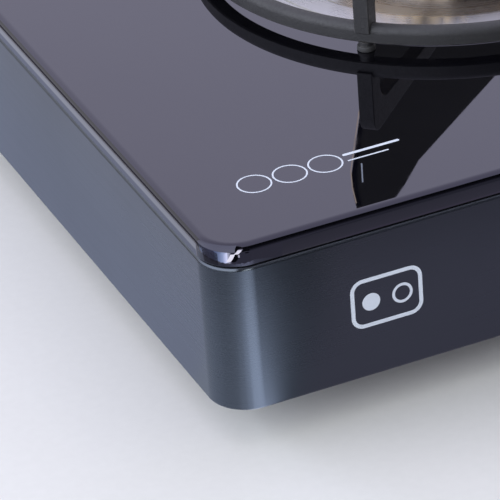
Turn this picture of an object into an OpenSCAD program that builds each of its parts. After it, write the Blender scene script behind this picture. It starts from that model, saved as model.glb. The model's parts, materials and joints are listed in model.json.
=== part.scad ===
// Table-top gas hot plate: two burners on a toughened glass top over a steel casing.
// Millimetres, +Z up, front at -Y. The origin is on the table, under the middle of the hot plate.
// "left" and "right" are as the cook sees them: side -1 is left and side 1 is right.

/* [Casing] */
// Width of the casing and of the glass
body_w = 640; // [620:5:700]
// Depth of the casing and of the glass
body_d = 350; // [345:5:400]
// Height of the casing's side wall
body_h = 57.4; // [57:0.2:62]
// Radius of the upright corners
corner_r = 15; // [12:1:18]
// Thickness of the casing's sheet steel
sheet_t = 1.2; // [1:0.1:1.3]
// Outer radius of the folds along the wall's top and bottom
fold_r = 1.4; // [1.3:0.1:3]
// Width of the inturned flanges that carry the glass and the base plate
flange_w = 26; // [24:1:28]
// Thickness of the base plate
plate_t = 1; // [0.8:0.1:1.2]
// Height of the casing's lower edge above the table
stand_h = 14; // [14:1:18]

/* [Glass] */
// Thickness of the toughened glass
glass_t = 8; // [6:0.5:8]
// Radius of the polished round along the glass's top edge
glass_edge_r = 3; // [1:0.5:4]
// Radius of the round opening over each burner
aperture_r = 74; // [72:1:76]
// Thickness of the silicone seal between casing and glass
seal_t = 0.6; // [0.4:0.1:1]

/* [Burners] */
// Distance from a burner's centre to the nearer side
burner_inset = 177; // [165:1:185]
// Distance from a burner's centre to the front
burner_set_back = 175; // [165:1:185]
// Crown radius of the large burner, on the left
large_crown_r = 44; // [42:1:46]
// Crown radius of the small burner, on the right
small_crown_r = 36; // [34:1:40]
// Distance along the rim from one flame slot to the next
slot_pitch = 6.4; // [6:0.2:8]
// Width of a flame slot
slot_w = 1.8; // [1.4:0.1:2.2]

/* [Pan supports] */
// Outer radius of a pan support's ring
ring_r = 100; // [96:1:104]
// Height of the pan above the glass
pan_h = 34; // [34:1:40]
// Thickness of a pan support's arm
arm_t = 6; // [5:0.5:8]
// Number of arms on a pan support
arm_count = 4; // [3:1:5]

/* [Controls] */
// Height of the knobs' axes above the table
knob_z = 44; // [44:0.5:46]
// Radius of a knob's skirt
knob_r = 22; // [20:0.5:23]
// How far a knob stands out from the front wall
knob_reach = 28; // [28:1:32]
// How far a knob is pushed in before it turns
push = 4; // [3:0.5:4]

/* [Gas line] */
// Outer radius of the gas rail
rail_r = 7; // [6.5:0.5:7]
// Bore radius of the gas rail
rail_bore_r = 5; // [4:0.5:5.5]
// Height of the rail's axis above the table
rail_z = 26; // [26:0.5:27]
// Radius of the rail's bend, to its axis
bend_r = 40; // [30:5:50]
// Major radius of the inlet's parallel 3/8 inch pipe thread
inlet_r = 8.33; // [6.58:0.01:8.33]

/* [Hidden] */
$fn = 96;

left = -1;
right = 1;
over = 1; // how far a cutting solid runs past what it cuts

// Levels
casing_top = stand_h + body_h;
glass_z = casing_top + seal_t;
top_z = glass_z + glass_t;
plate_z = stand_h - plate_t;
pan_z = top_z + pan_h;

// Burner places
burner_x = body_w / 2 - burner_inset;
front_y = -body_d / 2;
rear_y = body_d / 2;
burner_y = front_y + burner_set_back;

// Burner stack, upwards from the bracket
bracket_top = stand_h + 15;
seat_z = top_z + 4;
crown_z = seat_z + 13;
cap_z = crown_z + 4;
crown_wall = 9;
seat_inset = 6.5;
seat_wall = 4.5;
spigot_gap = 0.4;
spigot_wall = 3;
spigot_drop = 8;

// Pan support's ring and pads
ring_w = 6;
ring_z = top_z + 4;
ring_crest_z = top_z + 8;
pad_t = 2;

// Valve stations along Y, from the front wall back
plug_front = front_y + 18;
plug_len = 22;
bonnet_t = 3.5;
barrel_r = 9.5;
spindle_r = 3;
jet_y = front_y + 53;
jet_tip_y = jet_y + 9;
mouth_y = jet_tip_y - 3;
knob_rear_y = front_y - 6;
knob_len = knob_reach - 6;

// Gas rail
rail_y = front_y + 32;
rail_left_x = -body_w / 2 + 75;
rail_side_x = body_w / 2 - 45;
rail_end_y = rear_y - 19;
wall_rear_y = rear_y - sheet_t;
nut_t = 7;
nut_r = 12;

// Screws
screw_r = 1.9;
screw_hole_r = 2.1;
screw_head_r = 3.6;
screw_head_t = 2.2;
screw_inset = 16;
foot_inset = 48;

// Places of the screws round the base plate
edge_screws = [
  for (x = [-1, 0, 1], y = [-1, 1]) [x * body_w * 5 / 16, y * (body_d / 2 - screw_inset)],
  for (x = [-1, 1], y = [-1, 1]) [x * (body_w / 2 - screw_inset), y * body_d * 5 / 16]
];

// Places of the four feet
foot_places = [
  for (y = [-1, 1], x = [-1, 1]) [x * (body_w / 2 - foot_inset), y * (body_d / 2 - foot_inset)]
];

// Rail clips: each is a place along the rail and the turn that lays the clip across it
clip_places = [
  [rail_left_x + 25, rail_y, 0],
  [0, rail_y, 0],
  [rail_side_x, rail_y + 190, -90]
];
clip_tab = 16;

// Points along an arc about c, from angle a0 to a1
function arc(c, r, a0, a1, steps = 6) =
  [for (i = [0 : steps]) let (a = a0 + (a1 - a0) * i / steps) c + r * [cos(a), sin(a)]];

function reversed(list) = [for (i = [len(list) - 1 : -1 : 0]) list[i]];

function crown_r(side) = side < 0 ? large_crown_r : small_crown_r;

// ---- Shared shapes ----

module rounded_rect(w, d, r) {
  square([w - 2 * r, d], center = true);
  square([w, d - 2 * r], center = true);
  for (x = [-1, 1], y = [-1, 1])
    translate([x * (w / 2 - r), y * (d / 2 - r)]) circle(r);
}

// Runs a wall's section round the outline of the casing. The section is drawn with x outwards
// from the corner's axis and y upwards.
module run_round() {
  for (k = [0 : 3]) {
    across = k % 2 == 0 ? body_w : body_d;
    out = k % 2 == 0 ? body_d : body_w;
    rotate(k * 90) translate([0, corner_r - out / 2, 0]) {
      rotate([90, 0, -90]) linear_extrude(across - 2 * corner_r, center = true) children();
      translate([across / 2 - corner_r, 0, 0]) rotate(-90) rotate_extrude(angle = 90) children();
    }
  }
}

// A slot with round ends, lying along X and cut through z
module slot(len, w, h) {
  linear_extrude(h) {
    square([len - w, w], center = true);
    for (x = [-1, 1]) translate([x * (len - w) / 2, 0]) circle(w / 2);
  }
}

// Puts a shape on a burner's own axis, with z left as the height above the table
module at_burner(side) {
  translate([side * burner_x, burner_y, 0]) children();
}

// Puts a shape on a valve's axis: local z points to the front, from the station y
module at_valve(side, y) {
  translate([side * burner_x, y, knob_z]) rotate([90, 0, 0]) children();
}

// Repeats a shape round an axis, once for each pan support arm
module round_arms() {
  for (i = [0 : arm_count - 1]) rotate(45 + i * 360 / arm_count) children();
}

// Pan-head screw, head down, its head's seat at z = 0 and its shank pointing up
module screw(len, head_r = screw_head_r) {
  difference() {
    translate([0, 0, -screw_head_t]) rotate_extrude()
      polygon(concat([[0, 0]], arc([head_r - 0.8, 0.8], 0.8, -90, 0, 4), [[head_r, screw_head_t], [0, screw_head_t]]));
    for (a = [0, 90]) rotate(a) translate([0, 0, -screw_head_t - 0.5]) cube([4, 0.8, 3], center = true);
  }
  cylinder(r = screw_r, h = len);
}

// ---- Casing ----

// Section of a block with rounded outer corners, from the corner's axis out to x1
module fold_block(x1, y0, y1, r) {
  translate([-over, y0 + r]) square([x1 + over, y1 - y0 - 2 * r]);
  translate([-over, y0]) square([x1 - r + over, y1 - y0]);
  for (y = [y0 + r, y1 - r]) translate([x1 - r, y]) circle(r);
}

module casing_section() {
  intersection() {
    difference() {
      fold_block(corner_r, 0, body_h, fold_r);
      fold_block(corner_r - sheet_t, sheet_t, body_h - sheet_t, fold_r - sheet_t);
    }
    square([corner_r, body_h]);
  }
}

module flange() {
  linear_extrude(sheet_t) difference() {
    square([body_w - 2 * corner_r + 2, body_d - 2 * corner_r + 2], center = true);
    rounded_rect(body_w - 2 * flange_w, body_d - 2 * flange_w, 10);
  }
}

module casing() {
  color([0.05, 0.05, 0.06]) difference() {
    translate([0, 0, stand_h]) {
      run_round() casing_section();
      flange();
      translate([0, 0, body_h - sheet_t]) flange();
    }
    for (side = [left, right]) at_valve(side, front_y + 5) cylinder(r = 8, h = 10);
    translate([rail_side_x, rear_y - 5, rail_z]) rotate([-90, 0, 0]) cylinder(r = 8.4, h = 10);
    for (p = edge_screws) translate([p[0], p[1], stand_h - over]) cylinder(r = screw_hole_r, h = 4);
    for (side = [left, right], i = [-4 : 4])
      translate([side * burner_x + i * 12, rear_y + 5, stand_h + body_h / 2])
        rotate([90, 90, 0]) slot(26, 4, 10);
  }
}

module base_plate() {
  color([0.35, 0.36, 0.38]) difference() {
    translate([0, 0, plate_z]) linear_extrude(plate_t) rounded_rect(body_w - 10, body_d - 10, corner_r - 5);
    for (side = [left, right], row = [-1, 1], i = [-3 : 3])
      translate([side * burner_x + i * 14, burner_y + row * 68, plate_z - over]) rotate(90) slot(44, 6, 4);
    for (p = concat(edge_screws, bracket_screw_places(), clip_screw_places()))
      translate(concat(p, [plate_z - over])) cylinder(r = screw_hole_r, h = 4);
    for (p = foot_places) translate(concat(p, [plate_z - over])) cylinder(r = 2.2, h = 4);
  }
}

// ---- Glass ----

module glass_section() {
  difference() {
    union() {
      square([corner_r, glass_t - glass_edge_r]);
      square([corner_r - glass_edge_r, glass_t]);
      translate([corner_r - glass_edge_r, glass_t - glass_edge_r]) circle(glass_edge_r);
    }
    translate([corner_r, 0]) rotate(45) square(0.7, center = true);
  }
}

module glass_top() {
  color([0.1, 0.1, 0.12]) difference() {
    translate([0, 0, glass_z]) {
      run_round() glass_section();
      linear_extrude(glass_t) square([body_w - 2 * corner_r, body_d - 2 * corner_r], center = true);
    }
    for (side = [left, right]) at_burner(side) translate([0, 0, glass_z - over]) cylinder(r = aperture_r, h = 20);
  }
}

module glass_seal() {
  color([0.15, 0.15, 0.15]) translate([0, 0, casing_top]) linear_extrude(seal_t) difference() {
    rounded_rect(body_w - 8, body_d - 8, corner_r - 4);
    rounded_rect(body_w - 28, body_d - 28, 6);
  }
}

// ---- Feet and screws ----

module foot(i) {
  color([0.12, 0.12, 0.12]) translate(concat(foot_places[i], [0])) rotate_extrude()
    polygon(concat(
      [[2.3, 5], [6, 5], [6, 0]],
      arc([12, 1.5], 1.5, -90, -10, 4),
      [[15, plate_z], [2.3, plate_z]]
    ));
}
module foot_front_left() foot(0);
module foot_front_right() foot(1);
module foot_rear_left() foot(2);
module foot_rear_right() foot(3);

module foot_screws() {
  color("silver") for (p = foot_places) translate(concat(p, [5])) {
    screw(stand_h - 1.5, 4.6);
    translate([0, 0, stand_h - 5]) difference() {
      cylinder(r = 4, h = 3, $fn = 6);
      translate([0, 0, -over]) cylinder(r = screw_r, h = 5);
    }
  }
}

module base_screws() {
  color("silver") for (p = edge_screws) translate(concat(p, [plate_z])) screw(7);
}

function bracket_screw_places() =
  [for (s = [left, right], x = [-30, 30], y = [-28, 28]) [s * burner_x + x, burner_y + y]];

function clip_screw_places() =
  [for (c = clip_places) [c[0] + clip_tab * sin(c[2]), c[1] + clip_tab * cos(c[2])]];

module bracket_screws() {
  color("silver") for (p = concat(bracket_screw_places(), clip_screw_places()))
    translate(concat(p, [plate_z])) screw(6);
}

module burner_screws() {
  color("silver") for (side = [left, right], x = [-32, 32])
    at_burner(side) translate([x, 0, bracket_top + 4]) mirror([0, 0, 1]) screw(9);
}

module valve_screws() {
  color("silver") for (side = [left, right], x = [-12.5, 12.5])
    at_valve(side, plug_front - bonnet_t - 1) translate([x, 0, 0]) mirror([0, 0, 1]) screw(7);
}

module clamp_screws() {
  color("silver") for (side = [left, right], y = [-13, 13])
    translate([side * burner_x, rail_y + y, rail_z - 2]) screw(8);
}

// ---- Gas rail and inlet ----

module rail_run(r) {
  translate([rail_left_x, rail_y, rail_z]) rotate([0, 90, 0])
    cylinder(r = r, h = rail_side_x - bend_r - rail_left_x);
  translate([rail_side_x - bend_r, rail_y + bend_r, rail_z]) rotate(-90)
    rotate_extrude(angle = 90) translate([bend_r, 0]) circle(r);
  translate([rail_side_x, rail_y + bend_r, rail_z]) rotate([-90, 0, 0])
    cylinder(r = r, h = rail_end_y - rail_y - bend_r);
}

module gas_rail() {
  color([0.75, 0.76, 0.78]) difference() {
    rail_run(rail_r);
    rail_run(rail_bore_r);
    for (side = [left, right]) translate([side * burner_x, rail_y, rail_z]) cylinder(r = 2.5, h = 10);
  }
}

module rail_end_plug() {
  color([0.8, 0.65, 0.3]) translate([rail_left_x, rail_y, rail_z]) rotate([0, 90, 0]) {
    translate([0, 0, -over]) cylinder(r = rail_bore_r, h = 8 + over);
    translate([0, 0, -6]) rotate(30) cylinder(r = 9, h = 6, $fn = 6);
  }
}

// P-clip: a strap round the rail on a short leg, with a tab screwed to the base plate
module rail_clips() {
  color([0.7, 0.71, 0.73]) for (c = clip_places) translate([c[0], c[1], 0]) rotate(-c[2]) {
    translate([0, 0, rail_z]) rotate([0, 90, 0]) difference() {
      cylinder(r = rail_r + 1.5, h = 10, center = true);
      cylinder(r = rail_r, h = 12, center = true);
    }
    difference() {
      translate([-5, -4, stand_h]) cube([10, 8, rail_z - stand_h]);
      translate([0, 0, rail_z]) rotate([0, 90, 0]) cylinder(r = rail_r + 0.5, h = 12, center = true);
    }
    translate([0, 0, stand_h]) linear_extrude(1.5) difference() {
      translate([-5, -4]) square([10, clip_tab + 10]);
      translate([0, clip_tab]) circle(screw_hole_r);
    }
  }
}

module gas_inlet() {
  color([0.8, 0.65, 0.3]) translate([rail_side_x, 0, rail_z]) rotate([-90, 0, 0]) difference() {
    union() {
      translate([0, 0, rail_end_y - 10]) cylinder(r = 9.5, h = 15);
      translate([0, 0, rail_end_y + 4]) cylinder(r = nut_r, h = wall_rear_y - rail_end_y - 4, $fn = 6);
      translate([0, 0, wall_rear_y - over]) cylinder(r = inlet_r - 0.33, h = nut_t + sheet_t + 2 * over);
      translate([0, 0, rear_y + nut_t]) cylinder(r = inlet_r, h = knob_reach - nut_t);
    }
    translate([0, 0, rail_end_y - 10 - over]) cylinder(r = rail_r, h = 10 + over);
    translate([0, 0, rail_end_y - 5]) cylinder(r = 4, h = 80);
  }
}

module inlet_locknut() {
  color([0.8, 0.65, 0.3]) translate([rail_side_x, rear_y, rail_z]) rotate([-90, 0, 0]) difference() {
    cylinder(r = nut_r, h = nut_t, $fn = 6);
    translate([0, 0, -over]) cylinder(r = inlet_r - 0.33, h = nut_t + 2 * over);
  }
}

// ---- Burner bracket and mixing tube ----

// Top-hat bracket, folded from sheet, standing on the base plate
module bracket(side) {
  color([0.7, 0.71, 0.73]) difference() {
    at_burner(side) translate([0, 0, stand_h]) rotate([90, 0, 90]) linear_extrude(84, center = true) {
      translate([-22, 15 - sheet_t]) square([44, sheet_t]);
      for (s = [0, 1]) mirror([s, 0]) {
        translate([22 - sheet_t, 0]) square([sheet_t, 15]);
        translate([22 - sheet_t, 0]) square([14, sheet_t]);
      }
    }
    for (p = bracket_screw_places()) translate([p[0], p[1], stand_h - over]) cylinder(r = screw_hole_r, h = 4);
    at_burner(side) for (x = [-32, 32]) translate([x, 0, bracket_top - 4]) cylinder(r = screw_hole_r, h = 8);
  }
}
module left_bracket() bracket(left);
module right_bracket() bracket(right);

// Outline of the cast bowl from its foot up to the seat, set in by d all round
function bowl_side(seat_r, d) = concat(
  [[17 - d, bracket_top + 4 + d]],
  arc([17 - d, bracket_top + 12 + d], 8, -60, 0),
  arc([seat_r - d - 10, seat_z - 24], 10, -35, 0),
  [[seat_r - d, seat_z + (d > 0 ? over : 0)]]
);

// One casting: a flared venturi tube that opens into the bowl under the burner
module mixing_tube(side) {
  seat_r = crown_r(side) - seat_inset;
  tube_len = burner_y - mouth_y;
  color([0.55, 0.55, 0.56]) difference() {
    union() {
      at_burner(side) rotate_extrude()
        polygon(concat([[0, bracket_top], [17, bracket_top]], bowl_side(seat_r, 0), [[0, seat_z]]));
      at_valve(side, burner_y) {
        cylinder(r = 11, h = tube_len - 14);
        translate([0, 0, tube_len - 14]) cylinder(r1 = 11, r2 = 17, h = 12);
        translate([0, 0, tube_len - 2]) cylinder(r = 17, h = 2);
      }
      at_burner(side) translate([0, 0, bracket_top]) linear_extrude(4) {
        square([64, 14], center = true);
        for (x = [-32, 32]) translate([x, 0]) circle(7);
      }
    }
    at_burner(side) rotate_extrude()
      polygon(concat([[0, bracket_top + 4]], bowl_side(seat_r, seat_wall), [[0, seat_z + over]]));
    at_valve(side, burner_y) {
      cylinder(r1 = 8.5, r2 = 6.5, h = tube_len - 20);
      translate([0, 0, tube_len - 20]) cylinder(r1 = 6.5, r2 = 14.5, h = 18);
      translate([0, 0, tube_len - 2]) cylinder(r = 14.5, h = 2 + over);
    }
    at_burner(side) for (x = [-32, 32]) translate([x, 0, bracket_top - over]) cylinder(r = screw_hole_r, h = 6);
  }
}
module left_mixing_tube() mixing_tube(left);
module right_mixing_tube() mixing_tube(right);

// ---- Valve ----

module jet(side) {
  color([0.8, 0.65, 0.3]) at_valve(side, jet_tip_y) difference() {
    union() {
      cylinder(r1 = 2, r2 = 3.4, h = 4.5);
      translate([0, 0, 4.5]) cylinder(r = 5.5, h = jet_tip_y - jet_y - 4.5, $fn = 6);
    }
    translate([0, 0, -over]) cylinder(r = 0.45, h = 20);
    translate([0, 0, 2.5]) cylinder(r = 1.8, h = 20);
  }
}
module left_jet() jet(left);
module right_jet() jet(right);

module valve_flange(t) {
  linear_extrude(t) difference() {
    rounded_rect(34, 17, 6);
    for (x = [-12.5, 12.5]) translate([x, 0]) circle(screw_r);
  }
}

// Brass body: a barrel with the tapered seat, an outlet boss and a saddle on the rail
module valve_body(side) {
  front = plug_front - 1;
  color([0.8, 0.65, 0.3]) difference() {
    union() {
      at_valve(side, jet_y) cylinder(r = 6, h = 8);
      at_valve(side, jet_y - 4) cylinder(r = barrel_r, h = jet_y - 4 - front);
      at_valve(side, front + 3.5) valve_flange(3.5);
      translate([side * burner_x, rail_y, rail_z + 0.5]) linear_extrude(4.5) rounded_rect(16, 34, 3);
      translate([side * burner_x, rail_y, rail_z + 4]) linear_extrude(knob_z - rail_z - 6) rounded_rect(16, 18, 3);
    }
    translate([side * burner_x, rail_y, rail_z]) rotate([0, 90, 0]) cylinder(r = rail_r, h = 40, center = true);
    at_valve(side, plug_front + plug_len) {
      cylinder(r1 = 5.9, r2 = 6.9, h = plug_len);
      translate([0, 0, plug_len]) cylinder(r = 7.4, h = 3);
    }
    at_valve(side, jet_y + over) cylinder(r = 2.5, h = jet_y - plug_front - plug_len + 2 * over);
    translate([side * burner_x, rail_y, rail_z]) cylinder(r = 2.5, h = knob_z - rail_z);
    for (y = [-13, 13]) translate([side * burner_x, rail_y + y, rail_z]) cylinder(r = screw_r, h = 12);
  }
}
module left_valve_body() valve_body(left);
module right_valve_body() valve_body(right);

module valve_bonnet(side) {
  color([0.72, 0.73, 0.75]) at_valve(side, plug_front - 1) difference() {
    union() {
      valve_flange(bonnet_t);
      cylinder(r = 6, h = bonnet_t + 3);
    }
    translate([0, 0, -over]) cylinder(r = spindle_r + 0.08, h = 12);
  }
}
module left_valve_bonnet() valve_bonnet(left);
module right_valve_bonnet() valve_bonnet(right);

// Strap that holds the valve's saddle to the rail
module valve_clamp(side) {
  color([0.7, 0.71, 0.73]) translate([side * burner_x, rail_y, rail_z]) difference() {
    rotate([90, 0, 90]) linear_extrude(14, center = true) difference() {
      union() {
        circle(rail_r + 2);
        translate([-17, -2]) square([34, 2.5]);
      }
      circle(rail_r);
      translate([-20, 0.5]) square([40, 12]);
    }
    for (y = [-13, 13]) translate([0, y, -5]) cylinder(r = screw_hole_r, h = 12);
  }
}
module left_valve_clamp() valve_clamp(left);
module right_valve_clamp() valve_clamp(right);

// Tapered plug: its cross port lines up with the inlet when the valve is open
module valve_plug(side) {
  color([0.85, 0.7, 0.35]) at_valve(side, plug_front + plug_len) difference() {
    cylinder(r1 = 5.85, r2 = 6.85, h = plug_len);
    translate([0, 0, plug_len - 6.5]) cylinder(r = 5, h = 8);
    translate([0, 0, 9]) cylinder(r = spindle_r + 0.06, h = 8);
    translate([0, 0, -over]) cylinder(r = 2.4, h = 6);
    translate([0, 0, 3.5]) rotate([0, 90, 0]) cylinder(r = 1.8, h = 10);
  }
}
module left_valve_plug() valve_plug(left);
module right_valve_plug() valve_plug(right);

// Return spring in the plug's front recess: a round wire swept along a helix
spring_wire = 0.35;
spring_turns = 4;
spring_steps = 18;
spring_sides = 8;

function spring_point(i, len) =
  let (a = 360 * i / spring_steps, f = i / (spring_turns * spring_steps))
  [4 * cos(a), 4 * sin(a), spring_wire + f * (len - 2 * spring_wire)];

module valve_spring(side) {
  len = 6.4;
  rings = spring_turns * spring_steps;
  points = [
    for (i = [0 : rings], j = [0 : spring_sides - 1])
      let (a = 360 * i / spring_steps, b = 360 * j / spring_sides)
        spring_point(i, len) + spring_wire * [cos(b) * cos(a), cos(b) * sin(a), sin(b)]
  ];
  walls = [
    for (i = [0 : rings - 1], j = [0 : spring_sides - 1])
      let (k = (j + 1) % spring_sides, n = i * spring_sides)
        [n + j, n + spring_sides + j, n + spring_sides + k, n + k]
  ];
  ends = [
    [for (j = [0 : spring_sides - 1]) j],
    [for (j = [spring_sides - 1 : -1 : 0]) rings * spring_sides + j]
  ];
  color("silver") at_valve(side, plug_front + 6.45) polyhedron(points, concat(walls, ends));
}
module left_valve_spring() valve_spring(left);
module right_valve_spring() valve_spring(right);

module d_shape(r) {
  intersection() {
    circle(r);
    translate([-r - 1, -r - 1]) square([2 * r + 2, 1.8 * r + 1]);
  }
}

// Spindle: runs from the plug to the knob, with the collar that holds it in
module spindle(side) {
  flat_y = knob_rear_y;
  color("silver") {
    at_valve(side, plug_front + 8) cylinder(r = spindle_r, h = plug_front + 8 - flat_y);
    at_valve(side, flat_y) linear_extrude(knob_len - 5) d_shape(spindle_r);
    at_valve(side, plug_front) cylinder(r = 4.8, h = 1);
  }
}
module left_spindle() spindle(left);
module right_spindle() spindle(right);

module knob(side) {
  color([0.06, 0.06, 0.07]) at_valve(side, knob_rear_y) difference() {
    union() {
      rotate_extrude()
        polygon(concat(
          [[0, 0], [knob_r, 0]],
          arc([knob_r - 2, 5], 2, 0, 90, 5),
          arc([knob_r - 2, 11], 4, -90, -160, 5),
          arc([knob_r - 7.5, 10.5], 1.5, 10, 90, 4),
          [[0, 12]]
        ));
      intersection() {
        linear_extrude(knob_len) rounded_rect(10, 2 * knob_r, 3);
        rotate_extrude() polygon(concat([[0, 0], [knob_r - 1, 0]], arc([knob_r - 5, knob_len - 4], 4, 0, 90), [[0, knob_len]]));
      }
    }
    difference() {
      translate([0, 0, -over]) cylinder(r = knob_r - 4, h = 5 + over);
      translate([0, 0, -2 * over]) cylinder(r = 6.5, h = 20);
    }
    translate([0, 0, -over]) linear_extrude(knob_len - 5 + over) d_shape(spindle_r + 0.02);
  }
}
module left_knob() knob(left);
module right_knob() knob(right);

module bezel(side) {
  color("silver") at_valve(side, front_y) rotate_extrude()
    polygon(concat([[9, 0]], [[knob_r + 2.5, 0]], arc([knob_r + 1.5, 0.5], 1, 0, 90, 4), [[10, 1.5], [9, 0.8]]));
}
module left_bezel() bezel(left);
module right_bezel() bezel(right);

// ---- Parts that lift off ----

// Pressed tray: a collar round the burner's seat, a shallow bowl and a rim that lies on the glass
tray_t = 0.8;
tray_rim_r = 88;

function tray_line(collar_r, d) = concat(
  [[collar_r + d, top_z + 1]],
  arc([collar_r + 3, top_z - 2.1], 3 - d, 180, 270),
  arc([62, top_z + 0.9], 6 - d, 270, 320),
  arc([70.8, top_z - 2.6], 3 + d, 140, 90),
  [[tray_rim_r, top_z + 0.4 + d]]
);

module drip_tray(side) {
  collar_r = crown_r(side) - seat_inset + 1.4;
  color([0.75, 0.76, 0.78]) at_burner(side) {
    rotate_extrude()
      polygon(concat(tray_line(collar_r, tray_t / 2), reversed(tray_line(collar_r, -tray_t / 2))));
    rotate_extrude() translate([tray_rim_r, top_z + 1.1]) circle(1.05);
  }
}
module left_drip_tray() drip_tray(left);
module right_drip_tray() drip_tray(right);

// Brass crown: a spigot in the seat, a plenum, and a toothed wall whose slots the cap closes
module burner_head(side) {
  r = crown_r(side);
  spigot_r = r - seat_inset - seat_wall - spigot_gap;
  bore_r = spigot_r - spigot_wall;
  slots = round(2 * PI * r / slot_pitch);
  color([0.82, 0.68, 0.36]) at_burner(side) difference() {
    rotate_extrude() polygon([
      [bore_r, seat_z - spigot_drop], [spigot_r - 1, seat_z - spigot_drop], [spigot_r, seat_z - spigot_drop + 1],
      [spigot_r, seat_z], [r - 3, seat_z], [r, seat_z + 3], [r - 0.8, crown_z],
      [r - crown_wall, crown_z], [r - crown_wall, seat_z + 7], [bore_r, seat_z + 4]
    ]);
    for (i = [0 : slots - 1]) rotate(i * 360 / slots)
      translate([r - crown_wall - over, -slot_w / 2, seat_z + 6.5]) cube([crown_wall + 2 * over, slot_w, 10]);
  }
}
module left_burner_head() burner_head(left);
module right_burner_head() burner_head(right);

// Enamelled cap: a low dome with a skirt that centres it inside the crown
module burner_cap(side) {
  r = crown_r(side);
  skirt_r = r - crown_wall - 0.6;
  color([0.07, 0.07, 0.07]) at_burner(side) rotate_extrude() {
    polygon(concat(
      [[0, crown_z]],
      arc([r - 0.6, crown_z + 1.2], 1.2, -90, 70),
      arc([0, cap_z - 260], 260, 90 - asin((r - 6) / 260), 90, 8)
    ));
    translate([skirt_r - 2, crown_z - 3]) square([2, 3.5]);
  }
}
module left_burner_cap() burner_cap(left);
module right_burner_cap() burner_cap(right);

// Section of a pan support's ring: a bar with a half-round top
module ring_section() {
  translate([ring_r - ring_w, ring_z]) square([ring_w, ring_crest_z - ring_z]);
  translate([ring_r - ring_w / 2, ring_crest_z]) circle(ring_w / 2);
}

// Ring of a pan support, with the studs that stand on its pads
module pan_support(side) {
  color([0.08, 0.08, 0.08]) at_burner(side) {
    rotate_extrude() ring_section();
    round_arms() translate([ring_r - ring_w / 2, 0, top_z + pad_t]) cylinder(r = 2.8, h = ring_z - top_z - pad_t + over);
  }
}
module left_pan_support() pan_support(left);
module right_pan_support() pan_support(right);

// Side view of a pan support's arm: x outwards from the burner's axis, y the height
module arm_side() {
  knee = ring_r - ring_w - 1;
  under = pan_z - 10;
  tip = 29;
  translate([knee, ring_crest_z]) square([8, under - ring_crest_z + 1]);
  polygon([
    [tip, pan_z - 6], [knee - 8, under], [knee + 8, under],
    [knee + 8, pan_z - 6], [knee + 2, pan_z], [tip, pan_z]
  ]);
  translate([knee + 2, pan_z - 6]) circle(6);
  translate([tip, pan_z - 3]) circle(3);
  difference() {
    translate([knee - 8, under - 8]) square(8.5);
    translate([knee - 8, under - 8]) circle(8);
  }
}

// Arms that carry the pan: each sits astride the ring's round top
module support_arms(side) {
  color([0.08, 0.08, 0.08]) at_burner(side) difference() {
    round_arms() rotate([90, 0, 0]) linear_extrude(arm_t, center = true) arm_side();
    rotate_extrude() ring_section();
  }
}
module left_support_arms() support_arms(left);
module right_support_arms() support_arms(right);

module support_pads(side) {
  color([0.2, 0.2, 0.2]) at_burner(side) round_arms()
    translate([ring_r - ring_w / 2, 0, top_z]) cylinder(r = 3.5, h = pad_t);
}
module left_support_pads() support_pads(left);
module right_support_pads() support_pads(right);

casing();
base_plate();
glass_top();
glass_seal();
foot_front_left();
foot_front_right();
foot_rear_left();
foot_rear_right();
foot_screws();
base_screws();
bracket_screws();
burner_screws();
valve_screws();
clamp_screws();
gas_rail();
rail_end_plug();
rail_clips();
gas_inlet();
inlet_locknut();
left_bracket();
left_mixing_tube();
left_jet();
left_valve_body();
left_valve_bonnet();
left_valve_clamp();
left_valve_plug();
left_valve_spring();
left_spindle();
left_knob();
left_bezel();
left_drip_tray();
left_burner_head();
left_burner_cap();
left_pan_support();
left_support_arms();
left_support_pads();
right_bracket();
right_mixing_tube();
right_jet();
right_valve_body();
right_valve_bonnet();
right_valve_clamp();
right_valve_plug();
right_valve_spring();
right_spindle();
right_knob();
right_bezel();
right_drip_tray();
right_burner_head();
right_burner_cap();
right_pan_support();
right_support_arms();
right_support_pads();
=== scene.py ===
import bmesh
import bpy
import json
from math import atan2, cos, pi, radians, sin, tan
from mathutils import Matrix, Vector


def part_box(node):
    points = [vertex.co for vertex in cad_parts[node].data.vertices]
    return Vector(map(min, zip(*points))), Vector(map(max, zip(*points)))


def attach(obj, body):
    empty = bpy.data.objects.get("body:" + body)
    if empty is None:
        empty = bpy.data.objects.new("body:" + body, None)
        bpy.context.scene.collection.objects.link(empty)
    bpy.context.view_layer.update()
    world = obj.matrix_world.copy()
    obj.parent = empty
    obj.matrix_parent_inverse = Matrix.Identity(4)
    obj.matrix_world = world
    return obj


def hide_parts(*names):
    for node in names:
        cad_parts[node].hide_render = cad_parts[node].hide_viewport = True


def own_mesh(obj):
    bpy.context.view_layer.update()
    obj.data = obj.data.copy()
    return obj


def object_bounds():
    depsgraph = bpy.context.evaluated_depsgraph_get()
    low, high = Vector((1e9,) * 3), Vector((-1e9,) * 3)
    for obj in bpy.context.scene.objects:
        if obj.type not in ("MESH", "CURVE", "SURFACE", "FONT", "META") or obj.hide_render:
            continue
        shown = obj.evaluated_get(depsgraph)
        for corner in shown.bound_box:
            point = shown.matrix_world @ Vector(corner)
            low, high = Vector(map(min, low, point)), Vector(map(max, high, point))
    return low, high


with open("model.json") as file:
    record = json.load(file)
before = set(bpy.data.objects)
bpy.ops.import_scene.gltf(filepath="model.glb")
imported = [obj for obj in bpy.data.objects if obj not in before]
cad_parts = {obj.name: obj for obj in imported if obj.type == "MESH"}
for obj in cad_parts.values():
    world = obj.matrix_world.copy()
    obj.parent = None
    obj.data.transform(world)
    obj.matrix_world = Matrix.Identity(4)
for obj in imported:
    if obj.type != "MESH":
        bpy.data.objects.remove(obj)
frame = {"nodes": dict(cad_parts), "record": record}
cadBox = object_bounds()
scene = bpy.context.scene
mm = 0.001
sides = ("left", "right")


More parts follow.
